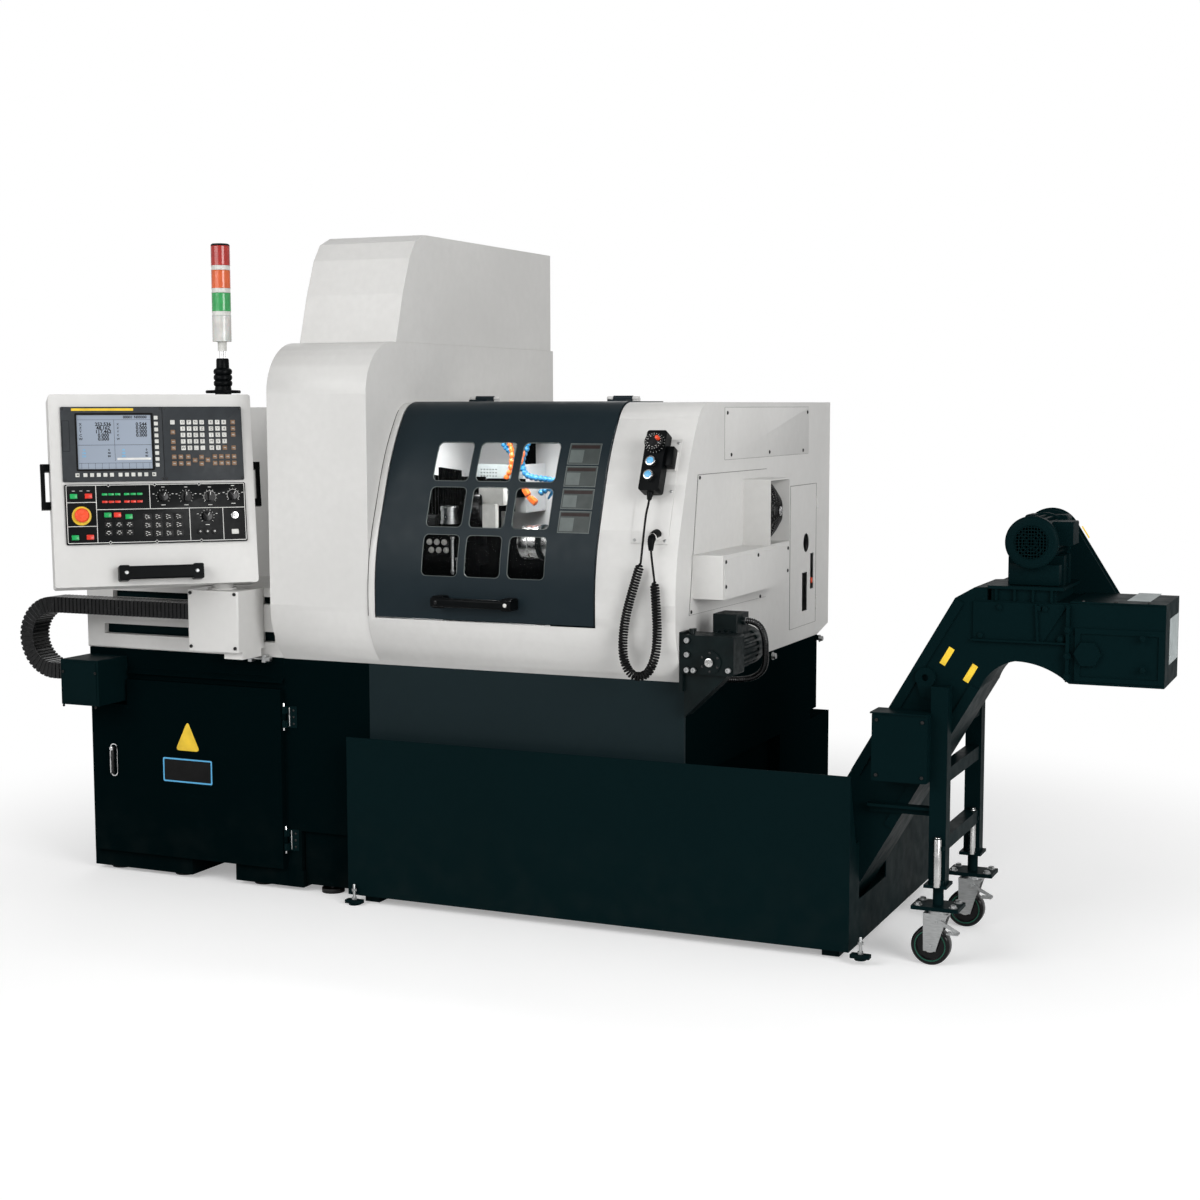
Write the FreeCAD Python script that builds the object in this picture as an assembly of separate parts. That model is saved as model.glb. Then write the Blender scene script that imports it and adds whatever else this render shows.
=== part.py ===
import FreeCAD, Part
import math
import os

# CNC sliding-head lathe with coolant tank, chip conveyor and swinging control panel.
# Sizes in mm. X runs right from the tank's left end, Y back from the cabinet's front,
# Z up from the floor. The finished machine is moved so that its origin lies on the
# floor under its middle.

os.makedirs("parts", exist_ok=True)
V = FreeCAD.Vector
X, Y, Z = V(1, 0, 0), V(0, 1, 0), V(0, 0, 1)
nodes = {}
cord_names = ("mpg_cord", "motor_conduit")

# ---------------------------------------------------------------- driving sizes

sheet = 3.0                  # folded steel sheet
running_gap = 0.3            # between faces that turn or slide on each other
seam_gap = 0.1               # between a curved skin and what is screwed to it
door_gap = 5.0               # round doors
pad_height = 13.0            # levelling pads
plinth_height = 52.0
base_top = 701.0
cabinet_left = -951.0
head_left = -238.0
head_right = 93.0
cover_right = 1032.0
cabinet_depth = 1310.0
cover_back = 1310.0
head_back = 1173.0
base_back = 1330.0
plinth_top = pad_height + plinth_height

# front line of the main cover: corners as (Y, height over the base), each rounded by its radius
front_corners = [(0, 0), (-73, 81), (-73, 314), (35.5, 625.5), (127.4, 752)]
front_radii = [235.0, 591.0, 677.0, 93.4]
roof = base_top + front_corners[-1][1]
cover_tail_height = 26.0
cover_tail_length = 120.0

# ---------------------------------------------------------------- helpers


def keep(name, *solids):
    nodes[name] = solids[0] if len(solids) == 1 else Part.makeCompound(list(solids))


def box(x0, x1, y0, y1, z0, z1):
    return Part.makeBox(x1 - x0, y1 - y0, z1 - z0, V(x0, y0, z0))


def rod(x, y, z, direction, radius, length):
    return Part.makeCylinder(radius, length, V(x, y, z), direction)


def ring(x, y, z, direction, outer, inner, length):
    return rod(x, y, z, direction, outer, length).cut(rod(x, y, z, direction, inner, length))


def cone(x, y, z, direction, radius0, radius1, length):
    return Part.makeCone(radius0, radius1, length, V(x, y, z), direction)


def join(*solids):
    return solids[0].multiFuse(list(solids[1:])).removeSplitter()


def prism(corners, travel):
    return Part.Face(Part.makePolygon(list(corners) + [corners[0]])).extrude(travel)


def side_prism(outline, x0, x1):
    """Outline of (y, z) corners, extruded along X."""
    return prism([V(x0, y, z) for y, z in outline], V(x1 - x0, 0, 0))


def front_prism(outline, y0, y1):
    """Outline of (x, z) corners, extruded along Y."""
    return prism([V(x, y0, z) for x, z in outline], V(0, y1 - y0, 0))


def rounded(solid, radius, direction):
    """Fillet the straight edges that run along a direction."""
    chosen = []
    for edge in solid.Edges:
        if len(edge.Vertexes) == 2:
            run = edge.Vertexes[1].Point.sub(edge.Vertexes[0].Point)
            if run.cross(direction).Length < 1e-6 * run.Length:
                chosen.append(edge)
    return solid.makeFillet(radius, chosen)


def obround(x0, z0, x1, z1, radius, y0, y1):
    """Slot shape round two centres in the XZ plane, extruded along Y."""
    run = V(x1 - x0, 0, z1 - z0)
    side = V(-run.z, 0, run.x).normalize().multiply(radius)
    start, end = V(x0, y0, z0), V(x1, y0, z1)
    tip = V(run.x, 0, run.z).normalize().multiply(radius)
    edges = [Part.makeLine(start.add(side), end.add(side)),
             Part.Arc(end.add(side), end.add(tip), end.sub(side)).toShape(),
             Part.makeLine(end.sub(side), start.sub(side)),
             Part.Arc(start.sub(side), start.sub(tip), start.add(side)).toShape()]
    return Part.Face(Part.Wire(edges)).extrude(V(0, y1 - y0, 0))


def corner_arc(corner, run_in, run_out, reach):
    """Arc that rounds a corner, its ends at a reach from it along the unit directions in and out."""
    radius = reach / math.tan(run_in.getAngle(run_out) / 2)
    inward = run_out.sub(run_in).normalize()
    middle = corner.add(inward.multiply(math.hypot(radius, reach) - radius))
    enter, leave = corner.sub(V(run_in).multiply(reach)), corner.add(V(run_out).multiply(reach))
    return Part.Arc(enter, middle, leave).toShape()


def rounded_line(corners, radii, offset, low):
    """Edges through rounded (y, z) corners, moved outwards by an offset and begun at a low height."""
    lines = []
    for (y0, z0), (y1, z1) in zip(corners, corners[1:]):
        run = V(0, y1 - y0, z1 - z0).normalize()
        lines.append((V(0, y0, z0).add(V(0, -run.z, run.y).multiply(offset)), run))
    start, run = lines[0]
    points = [start.add(V(run).multiply((low - start.z) / run.z))]
    for (p, r), (q, s) in zip(lines, lines[1:]):
        gap = q.sub(p)
        points.append(p.add(V(r).multiply((gap.y * s.z - gap.z * s.y) / (r.y * s.z - r.z * s.y))))
    points.append(V(0, corners[-1][0], corners[-1][1] + offset))
    edges = []
    here = points[0]
    for index, radius in enumerate(radii):
        run_in, run_out = lines[index][1], lines[index + 1][1]
        reach = (radius + offset) * math.tan(run_in.getAngle(run_out) / 2)
        arc = corner_arc(points[index + 1], run_in, run_out, reach)
        edges += [Part.makeLine(here, arc.firstVertex().Point), arc]
        here = arc.lastVertex().Point
    edges.append(Part.makeLine(here, points[-1]))
    return edges


def front_line(offset, low, y_end):
    """The main cover's front line, moved outwards by an offset and carried over the roof to y_end."""
    corners = [(y, base_top + z) for y, z in front_corners] + [(y_end, roof)]
    return rounded_line(corners, front_radii, offset, low)


def closed(edges, corners, x0, x1):
    """Solid along X between an open outline's edges and the corners that close it."""
    ends = [edges[-1].lastVertex().Point] + [V(0, y, z) for y, z in corners] + [edges[0].firstVertex().Point]
    lines = [Part.makeLine(a, b) for a, b in zip(ends, ends[1:]) if a.distanceToPoint(b) > 1e-6]
    face = Part.Face(Part.Wire(edges + lines))
    face.translate(V(x0, 0, 0))
    return face.extrude(V(x1 - x0, 0, 0))


def front_at(z, offset):
    """Point of the front line at a height, and the unit vectors out of the cover and up its front."""
    line = Part.Wire(front_line(offset, base_top, cover_back))
    level = Part.makeLine(V(0, -500, z), V(0, front_corners[-1][0] + 40, z))
    point = line.distToShape(level)[1][0][0]
    for edge in line.Edges:
        if edge.distToShape(Part.Vertex(point))[0] < 1e-6:
            up = edge.tangentAt(edge.Curve.parameter(point))
            if up.z < 0:
                up = up.multiply(-1)
            return point, V(0, -up.z, up.y), up


def front_solid(offset, low, x0, x1, y_end):
    """Solid behind the offset front line, from a low height up and back to y_end."""
    foot = base_top - 1
    solid = closed(front_line(offset, foot, y_end), [(y_end, foot)], x0, x1)
    return solid.cut(box(x0 - 1, x1 + 1, -300, y_end + 1, foot - 1, low))


def front_band(outer, inner, low, x0, x1, y_end):
    """Skin between two offsets of the front line, from a low height over the roof to y_end."""
    return front_solid(outer, low, x0, x1, y_end).cut(front_solid(inner, low - 1, x0 - 1, x1 + 1, y_end + 1))


def cover_block(inset, low, x0, x1):
    """Solid inside the main cover's outline, drawn in by an inset, down to a low height."""
    back = cover_back - inset
    tail = cover_back - cover_tail_length - inset
    return closed(front_line(-inset, low, back), [(back, base_top + cover_tail_height), (tail, base_top),
                                                  (tail, low)], x0, x1)


# ---------------------------------------------------------------- work door sizes

door_left = head_right + 27
door_right = door_left + 675
door_bottom = base_top + 149
door_back = 430.0
door_depth = 25.0
door_proud = 3.0
window_radius = 15.0
window_columns = [(145, 260), (280, 392), (413, 528)]     # from the door's left edge
window_rows = [(120, 237), (256, 368), (383, 492)]        # from the door's lower edge
pane_thickness = 5.0
pane_lap = 12.0
hinge_rise = 12.0
hinge_radius = 8.0
hinge_pin = 3.5
hinge_y = door_back + 10
hinge_z = roof + hinge_rise
door_hinges = [door_left + 60, door_right - 160]
hinge_leaf = 60.0
hinge_ear = 20.0

# right side of the main cover
fan_y = 537.0
fan_z = base_top + 437
fan_radius = 80.0
fan_shroud = 4.0
hatch_y0, hatch_y1 = 898.0, 1160.0
hatch_z0, hatch_z1 = base_top + 46, base_top + 492
hatch_thickness = 2.0
hatch_frame = 12.0
hatch_pivot_x, hatch_pivot_y = cover_right + 4, hatch_y1 + 3
hatch_knuckle, hatch_pin = 3.5, 1.5
hatch_hinge_length = 40.0
hatch_hinges = [hatch_z0 + 40, hatch_z1 - 80]

# spindle line
spindle_y = 230.0
spindle_z = base_top + 349
spindle_radius = 40.0
nose_half = 75.0             # half the square nose of the guide bush block
bar_entry_radius = 34.0
bar_bore_radius = 16.0
wall_clearance = 2.0

# ---------------------------------------------------------------- main cover


def main_cover():
    body = cover_block(0, base_top, head_right, cover_right)
    body = body.cut(cover_block(sheet, base_top - 1, head_right - 1, cover_right - sheet))
    body = body.cut(box(door_left - door_gap, door_right + door_gap, -300, door_back + door_gap,
                        door_bottom - door_gap, roof + 100))
    body = body.cut(rod(cover_right - 10, fan_y, fan_z, X, fan_radius + running_gap, 20))
    body = body.cut(box(cover_right - 10, cover_right + 10, hatch_y0 + hatch_frame, hatch_y1 - hatch_frame,
                        hatch_z0 + hatch_frame, hatch_z1 - hatch_frame))
    rear_wall = cover_block(0, base_top, head_right, head_right + sheet)
    ears = [rear_wall.common(box(head_right, head_right + sheet, head_back, cover_back, base_top, roof))]
    for low in hatch_hinges:
        high = low + hatch_hinge_length
        ears.append(rod(hatch_pivot_x, hatch_pivot_y, low, Z, hatch_pin, hatch_hinge_length))
        for z0 in (low, high - 10):
            ears.append(rod(hatch_pivot_x, hatch_pivot_y, z0, Z, hatch_knuckle, 10))
            ears.append(box(cover_right - 1, hatch_pivot_x, hatch_pivot_y, hatch_pivot_y + hatch_knuckle, z0, z0 + 10))
    for start in door_hinges:
        for x0 in (start - hinge_ear - 0.5, start + hinge_leaf + 0.5):
            foot_y0 = hinge_y - 4
            ear = box(x0, x0 + hinge_ear, foot_y0, foot_y0 + 14, roof - sheet, hinge_z)
            ears += [ear, rod(x0, hinge_y, hinge_z, X, hinge_radius - 2, hinge_ear)]
        ears.append(rod(start - hinge_ear - 0.5, hinge_y, hinge_z, X, hinge_pin,
                        hinge_leaf + 2 * hinge_ear + 1))
    return join(body, *ears)


keep("main_cover", main_cover())


def work_door():
    body = front_band(door_proud, door_proud - door_depth, door_bottom, door_left, door_right, door_back)
    hollow = front_solid(door_proud - sheet, door_bottom + sheet, door_left + sheet, door_right - sheet,
                         door_back - sheet)
    body = body.cut(hollow)
    for x0, x1 in window_columns:
        for z0, z1 in window_rows:
            hole = box(door_left + x0, door_left + x1, -200, 160, door_bottom + z0, door_bottom + z1)
            body = body.cut(rounded(hole, window_radius, Y))
    leaves = []
    for start in door_hinges:
        knuckle = rod(start, hinge_y, hinge_z, X, hinge_radius, hinge_leaf)
        leaf_top = roof + door_proud + 6
        leaf = box(start, start + hinge_leaf, door_back - 40, hinge_y, roof + door_proud, leaf_top)
        bore = rod(start - 1, hinge_y, hinge_z, X, hinge_pin + running_gap, hinge_leaf + 2)
        leaves.append(join(knuckle, leaf).cut(bore))
    return join(body, *leaves)


keep("work_door", work_door())


def door_pane():
    outer = door_proud - sheet - seam_gap
    x0 = door_left + window_columns[0][0] - pane_lap
    x1 = door_left + window_columns[-1][1] + pane_lap
    z0 = door_bottom + window_rows[0][0] - pane_lap
    z1 = door_bottom + window_rows[-1][1] + pane_lap
    pane = front_band(outer, outer - pane_thickness, z0, x0, x1, door_back - sheet)
    return pane.common(box(x0 - 1, x1 + 1, -300, door_back, z0 - 1, z1))


keep("door_pane", door_pane())

door_handle_x0, door_handle_x1 = door_left + 202, door_left + 450
door_handle_z = door_bottom + 52
door_handle_reach = 48.0


def door_handle():
    y = front_at(door_handle_z, door_proud)[0].y
    grip = rounded(box(door_handle_x0, door_handle_x1, y - door_handle_reach, y - door_handle_reach + 20,
                       door_handle_z - 13, door_handle_z + 13), 8, X)
    feet = [rounded(box(x, x + 34, y - door_handle_reach + 10, y + 12, door_handle_z - 17, door_handle_z + 17), 6, Y)
            for x in (door_handle_x0, door_handle_x1 - 34)]
    return join(grip, *feet).cut(front_solid(door_proud + seam_gap, base_top, door_left, door_right, door_back))


keep("door_handle", door_handle())

# ---------------------------------------------------------------- head cover and hood

head_front = -70.0
head_shoulder_radius = 150.0
head_tuck, head_tuck_radius = 78.0, 235.0
head_top = base_top + 927
hood_profile = [(109, 0), (151, 141), (193, 246), (230, 297), (285, 319)]
hood_back = 1160.0
hood_inset = 2.0


def head_solid(inset, low, x0, x1):
    """Solid inside the head cover's outline, drawn in by an inset, down to a low height."""
    corners = [(0, base_top), (head_front, base_top + head_tuck), (head_front, head_top), (head_back - inset, head_top)]
    edges = rounded_line(corners, (head_tuck_radius, head_shoulder_radius), -inset, low)
    return closed(edges, [(head_back - inset, low)], x0, x1)


def head_cover():
    body = head_solid(0, base_top, head_left, head_right)
    body = body.cut(head_solid(sheet, base_top - 1, head_left + sheet, head_right - sheet))
    reach = nose_half + wall_clearance
    body = body.cut(box(head_right - 10, head_right + 10, spindle_y - reach, spindle_y + reach,
                        spindle_z - reach, spindle_z + reach))
    return body.cut(rod(head_left - 1, spindle_y, spindle_z, X, bar_entry_radius, 2 * sheet))


keep("head_cover", head_cover())


def top_hood():
    outline = [(y, head_top + z) for y, z in hood_profile]
    outline += [(hood_back, outline[-1][1]), (hood_back, head_top)]
    x0, x1 = head_left + hood_inset, head_right - hood_inset
    body = side_prism(outline, x0, x1)
    inner = [(outline[0][0] + sheet, head_top)]
    inner += [(y + sheet, z - sheet) for y, z in outline[1:-2]]
    inner += [(hood_back - sheet, outline[-2][1] - sheet), (hood_back - sheet, head_top)]
    return body.cut(side_prism(inner, x0 + sheet, x1 - sheet))


keep("top_hood", top_hood())

# ---------------------------------------------------------------- base

tank_left, tank_right = 0.0, 1510.0
tank_front, tank_back = -51.0, 814.0
tank_bottom, tank_height, tank_wall_top = 25.0, 275.0, 490.0
tank_sheet = 4.0
tunnel_clearance = 8.0
apron_left, apron_thickness, apron_bottom = 50.0, 12.0, base_top - 271
neck_bottom = base_top - 270
neck_back = 1122.0
rear_front = tank_back + running_gap
upper_back = cover_back - cover_tail_length - 2
gear_x0, gear_x1 = cover_right + 10, cover_right + 154
gear_z0, gear_z1 = base_top + 31, base_top + 136
gear_front, gear_back = -45.0, 40.0
inlet_reach = 28.0
inlet_x, inlet_y, inlet_z = cover_right + inlet_reach, gear_back + 196, base_top - 21
bed_x0, bed_x1 = head_right + 467, head_right + 797
bed_half = 80.0
bed_top = spindle_z - 170


def base_frame():
    tunnel_top = tank_bottom + tank_height + tunnel_clearance
    upper = box(head_left, cover_right, apron_thickness, upper_back, neck_bottom + 30, base_top)
    face = box(head_left, apron_left, 0, apron_thickness, neck_bottom, base_top)
    neck = box(head_left, cover_right, apron_thickness, neck_back, neck_bottom, neck_bottom + 30)
    middle = box(head_left, cover_right - 40, apron_thickness + 40, rear_front, tunnel_top, neck_bottom)
    rear = box(head_left, cover_right, rear_front, base_back, pad_height, neck_bottom)
    leg = box(head_left, tank_left - tunnel_clearance, 0, rear_front, plinth_top, neck_bottom)
    plinth = box(head_left, head_left + 53, 0, rear_front, pad_height, plinth_top)
    lip = box(head_left, cover_right + 14, upper_back - 30, upper_back, base_top - 16, base_top - 2)
    recess = box(head_left + 48, head_left + 218, -1, 90, plinth_top - 1, plinth_top + 120)
    bed = box(bed_x0, bed_x1, spindle_y - bed_half, spindle_y + bed_half, base_top - 1, bed_top - 20)
    rails = [rounded(box(bed_x0, bed_x1, y - 14, y + 14, bed_top - 21, bed_top), 4, X)
             for y in (spindle_y - bed_half + 24, spindle_y + bed_half - 24)]
    inlet = rod(cover_right - 1, inlet_y, inlet_z, X, 12, inlet_reach + 1)
    body = join(upper, face, neck, middle, rear, leg, plinth, lip, bed, inlet, *rails)
    return body.cut(recess)


keep("base_frame", base_frame())

foot_radius = 34.0
stud_radius = 10.0


def levelling_feet():
    feet = []
    low_spots = [(cabinet_left + 60, 60), (cabinet_left + 60, cabinet_depth - 60),
                 (cabinet_left + 300, 60), (cabinet_left + 300, cabinet_depth - 60),
                 (head_left - 120, 60), (head_left - 120, cabinet_depth - 60),
                 (head_left + 60, base_back - 60), (cover_right - 60, base_back - 60)]
    for x, y in low_spots:
        feet.append(rod(x, y, 0, Z, foot_radius, pad_height))
    pad = rod(head_left + 128, 45, 0, Z, foot_radius, pad_height)
    stud = rod(head_left + 128, 45, pad_height, Z, stud_radius, plinth_top + 120 - pad_height)
    nut = rod(head_left + 128, 45, plinth_top, Z, stud_radius * 1.8, 16)
    feet.append(join(pad, stud, nut))
    return feet


keep("levelling_feet", *levelling_feet())

keep("apron_panel", box(apron_left, cover_right - 2, 0, apron_thickness, apron_bottom, base_top))

# ---------------------------------------------------------------- electrical cabinet

opening_left, opening_right = cabinet_left + 31, head_left - 20
opening_bottom, opening_step, opening_top = plinth_top + 18, base_top - 186, base_top - 106
step_x = cabinet_left + 166
leaf_edge = 15.0             # how far the cabinet door laps past its opening
cabinet_door_depth = 20.0
cabinet_hinge_x = head_left + 2
cabinet_hinge_y = -12.0
cabinet_hinge_spans = [(plinth_top + 59, plinth_top + 123), (base_top - 206, base_top - 142)]
knuckle_radius = 6.0
knuckle_pin = 2.3


def electrical_cabinet():
    body = box(cabinet_left, head_left, 0, cabinet_depth, plinth_top, base_top)
    body = body.cut(box(cabinet_left + sheet, head_left - sheet, sheet, cabinet_depth - sheet,
                        plinth_top + sheet, base_top - sheet))
    hole = front_prism([(opening_left, opening_bottom), (opening_right, opening_bottom),
                        (opening_right, opening_top), (step_x, opening_top),
                        (step_x, opening_step), (opening_left, opening_step)], -1, sheet + 1)
    body = body.cut(hole)
    drip_rail = side_prism([(0, base_top - 61), (-14, base_top - 74), (-14, base_top - 70), (0, base_top - 56)],
                           step_x - 15, head_left - 2)
    plinths = [box(x0, x1, 0, cabinet_depth, pad_height, plinth_top)
               for x0, x1 in ((cabinet_left, cabinet_left + 366), (head_left - 188, head_left))]
    return join(body, drip_rail, *plinths)


keep("electrical_cabinet", electrical_cabinet())


def cabinet_door():
    x0, x1 = opening_left - leaf_edge, head_left - 5
    z0, z1, z2 = opening_bottom - leaf_edge, opening_step + leaf_edge, opening_top + leaf_edge
    step = step_x - leaf_edge
    rim = 2 * sheet

    def outline(inset, y0, y1):
        return front_prism([(x0 + inset, z0 + inset), (x1 - inset, z0 + inset), (x1 - inset, z2 - inset),
                            (step + inset, z2 - inset), (step + inset, z1 - inset), (x0 + inset, z1 - inset)],
                           y0, y1)
    pan = outline(0, -cabinet_door_depth, 0).cut(outline(rim, -cabinet_door_depth + sheet, 1))
    lugs = []
    for low, high in cabinet_hinge_spans:
        third = (high - low) / 3
        knuckle = rod(cabinet_hinge_x, cabinet_hinge_y, low + third, Z, knuckle_radius, third)
        tab = box(x1 - 1, cabinet_hinge_x, cabinet_hinge_y - 4, cabinet_hinge_y + 4, low + third, low + 2 * third)
        bore = rod(cabinet_hinge_x, cabinet_hinge_y, low, Z, knuckle_pin + running_gap, high - low)
        lugs.append(join(knuckle, tab).cut(bore))
    escutcheon = box(latch_x - 12, latch_x + 12, -cabinet_door_depth - escutcheon_depth, -cabinet_door_depth,
                     latch_low - 8, latch_high + 8)
    return join(pan, escutcheon, *lugs)


latch_low, latch_high = plinth_top + 249, plinth_top + 332
latch_pivot_z = latch_high - 5
latch_x = opening_left - leaf_edge + 84
escutcheon_depth = 2.0
latch_width = 10.0
latch_pivot_radius = 5.5
latch_y = -cabinet_door_depth - escutcheon_depth - latch_pivot_radius - running_gap
keep("cabinet_door", cabinet_door())


def cabinet_hinges():
    leaves = []
    for low, high in cabinet_hinge_spans:
        third = (high - low) / 3
        leaf = box(cabinet_hinge_x + knuckle_radius, cabinet_hinge_x + 39, -4, 0, low, high)
        parts = [leaf, rod(cabinet_hinge_x, cabinet_hinge_y, low, Z, knuckle_pin, high - low)]
        for z0, z1 in ((low, low + third - running_gap), (high - third + running_gap, high)):
            parts.append(rod(cabinet_hinge_x, cabinet_hinge_y, z0, Z, knuckle_radius, z1 - z0))
            parts.append(box(cabinet_hinge_x, cabinet_hinge_x + knuckle_radius + 3, cabinet_hinge_y, 0, z0, z1))
        leaves.append(join(*parts))
    return leaves


keep("cabinet_hinges", *cabinet_hinges())



def cabinet_latch():
    x0 = latch_x - latch_width / 2
    grip = rounded(box(x0, x0 + latch_width, latch_y - 8, latch_y, latch_low, latch_high), 3, Z)
    boss = rod(x0, latch_y, latch_pivot_z, X, latch_pivot_radius, latch_width)
    return join(grip, boss)


keep("cabinet_latch", cabinet_latch())


def cabinet_equipment():
    plate_y = 260.0
    z0, z1 = plinth_top + 25, base_top - 60
    plate = box(cabinet_left + sheet, head_left - sheet, plate_y, plate_y + 3, z0, z1)
    parts = [plate]
    drive_width, drive_height, drive_depth = 62.0, 250.0, 150.0
    for index in range(6):
        x = cabinet_left + 90 + index * (drive_width + 8)
        drive = box(x, x + drive_width, plate_y - drive_depth, plate_y, z1 - 40 - drive_height, z1 - 40)
        parts.append(rounded(drive, 4, Z))
    for index in range(8):
        x = cabinet_left + 100 + index * 60
        parts.append(box(x, x + 45, plate_y - 80, plate_y, z0 + 60, z0 + 140))
    for z in (z0 + 10, z0 + 170):
        parts.append(box(cabinet_left + 70, head_left - 60, plate_y - 60, plate_y, z, z + 40))
    return join(*parts)


keep("cabinet_equipment", cabinet_equipment())

# ---------------------------------------------------------------- left cover and carriage

rail_left, rail_right = cabinet_left - 5, head_left - 2
rail_top = base_top + 210
rail_back = 300.0
tower_left = head_left - 440
tower_top = base_top + 739
slot_depth = 22.0
upper_slot = (base_top + 158, base_top + 180)
lower_slot = (base_top + 45, base_top + 76)
upper_slot_left, lower_slot_left = rail_left + 99, rail_left + 64
slot_right = rail_right - 30


def left_cover():
    rail_house = rounded(box(rail_left, rail_right, 0, rail_back + 20, base_top, rail_top), 6, X)
    tower = rounded(box(tower_left, rail_right, rail_back, head_back, base_top, tower_top), 12, Y)
    body = join(rail_house, tower)
    for x0, span in ((upper_slot_left, upper_slot), (lower_slot_left, lower_slot)):
        body = body.cut(box(x0, slot_right, -1, slot_depth, span[0], span[1]))
    return body


keep("left_cover", left_cover())

carriage_x0, carriage_x1 = head_left - 244, head_left - 68
carriage_y0 = -136.0
carriage_z0, carriage_z1 = base_top + 28, base_top + 207
post_x, post_y = -400.0, -75.0
post_radius = 32.0
post_bore_depth = 40.0


def carriage():
    body = rounded(box(carriage_x0, carriage_x1, carriage_y0, -running_gap, carriage_z0, carriage_z1), 5, Z)
    tongues = [box(carriage_x0 + 10, carriage_x1 - 10, -2, slot_depth - 3, span[0] + 2, span[1] - 2)
               for span in (upper_slot, lower_slot)]
    clamp = box(carriage_x0 + 112, carriage_x1, carriage_y0 + 20, -20, carriage_z0 - 22, carriage_z0)
    bore = rod(post_x, post_y, carriage_z1 - post_bore_depth, Z, post_radius + running_gap, post_bore_depth + 1)
    return join(body, clamp, *tongues).cut(bore)


keep("carriage", carriage())

# ---------------------------------------------------------------- energy chain

chain_height, chain_width = 48.0, 80.0
chain_front = -130.0
chain_upper_z = base_top + 142
chain_bend_radius = 101.5
chain_bend_x = cabinet_left - 35
chain_links = 61
chain_rib_share = 0.62       # rib length as a share of the pitch
chain_relief = 2.5           # how far the web lies under the ribs
junction_x0, junction_x1 = cabinet_left + 1, cabinet_left + 141
junction_depth = 140.0
chain_lower_z = chain_upper_z - 2 * chain_bend_radius
junction_z0, junction_z1 = chain_lower_z - 99, chain_lower_z + 40


def chain_point(along):
    """Place and direction of the chain's middle line at a distance from the carriage."""
    straight = carriage_x0 - chain_bend_x
    arc = math.pi * chain_bend_radius
    if along <= straight:
        return V(carriage_x0 - along, 0, chain_upper_z), V(-1, 0, 0)
    if along <= straight + arc:
        turn = (along - straight) / chain_bend_radius
        middle = V(chain_bend_x, 0, chain_upper_z - chain_bend_radius)
        place = middle.add(V(-math.sin(turn), 0, math.cos(turn)).multiply(chain_bend_radius))
        return place, V(-math.cos(turn), 0, -math.sin(turn))
    return V(chain_bend_x + along - straight - arc, 0, chain_lower_z), V(1, 0, 0)


def chain_block(start, end, half, y0, y1):
    corners = []
    for along, side in ((start, -1), (end, -1), (end, 1), (start, 1)):
        place, run = chain_point(along)
        corners.append(place.add(V(-run.z, 0, run.x).multiply(side * half)).add(V(0, y0, 0)))
    return prism(corners, V(0, y1 - y0, 0))


def cable_chain():
    length = carriage_x0 - chain_bend_x + math.pi * chain_bend_radius + junction_x0 - chain_bend_x
    half = chain_height / 2
    web_half = half - chain_relief
    y0, y1 = chain_front, chain_front + chain_width
    upper = box(chain_bend_x, carriage_x0, y0 + chain_relief, y1 - chain_relief,
                chain_upper_z - web_half, chain_upper_z + web_half)
    lower = box(chain_bend_x, junction_x0, y0 + chain_relief, y1 - chain_relief,
                chain_lower_z - web_half, chain_lower_z + web_half)
    bend_z = chain_upper_z - chain_bend_radius
    bend = ring(chain_bend_x, y0 + chain_relief, bend_z, Y, chain_bend_radius + web_half,
                chain_bend_radius - web_half, chain_width - 2 * chain_relief)
    bend = bend.common(box(chain_bend_x - 300, chain_bend_x, y0, y1, bend_z - 300, bend_z + 300))
    pitch = length / chain_links
    ribs = []
    for link in range(chain_links):
        start = (link + (1 - chain_rib_share) / 2) * pitch
        ribs.append(chain_block(start, start + chain_rib_share * pitch, half, y0, y1))
    return join(upper, bend, lower, *ribs)


keep("cable_chain", cable_chain())


def junction_box():
    body = rounded(box(junction_x0, junction_x1, -junction_depth, 0, junction_z0, junction_z1), 3, Y)
    lid = box(junction_x0 + 8, junction_x1 - 8, -junction_depth - 2, -junction_depth, junction_z0 + 8, junction_z1 - 8)
    return join(body, lid)


keep("chain_junction_box", junction_box())

# ---------------------------------------------------------------- control panel

panel_width, panel_height, panel_depth = 572.8, 553.0, 100.0
panel_corner = V(-695.3, -459.1, 933.4)
panel_turn, panel_lean = 43.34, 9.99
panel_place = FreeCAD.Placement(panel_corner, FreeCAD.Rotation(Z, panel_turn).multiply(
    FreeCAD.Rotation(X, -panel_lean)))


def on_panel(shape):
    """Move a shape drawn on the panel (X across, Y into it, Z up from its lower left corner)."""
    moved = shape.copy()
    moved.Placement = panel_place.multiply(moved.Placement)
    return moved


def panel_box(a0, a1, b0, b1, front, back):
    return box(a0, a1, front, back, b0, b1)


def panel_rod(a, b, radius, front, back):
    return rod(a, front, b, Y, radius, back - front)


unit_a0, unit_a1, unit_b0, unit_b1 = 32.0, 544.0, 300.0, 516.0
unit_split = 316.0
unit_thickness = 6.0
desk_a0, desk_a1, desk_b0, desk_b1 = 35.0, 545.0, 120.0, 292.0
desk_thickness = 4.0
key_height = 2.0
screen = (75.0, 283.0, 334.0, 494.0)
e_stop = (79.0, 202.0)
start_keys = [(153.0, 196.0), (183.0, 196.0)]
turn_knobs = [(374.0, 253.0), (442.0, 252.0)]
fixed_knobs = [(309.0, 254.0), (509.0, 255.0), (432.0, 194.0)]
button_stem = 5.0
button_hole_gap = 0.4
e_stop_ring = 27.0
tower_a, tower_d = 0.88 * panel_width, 55.0


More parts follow.
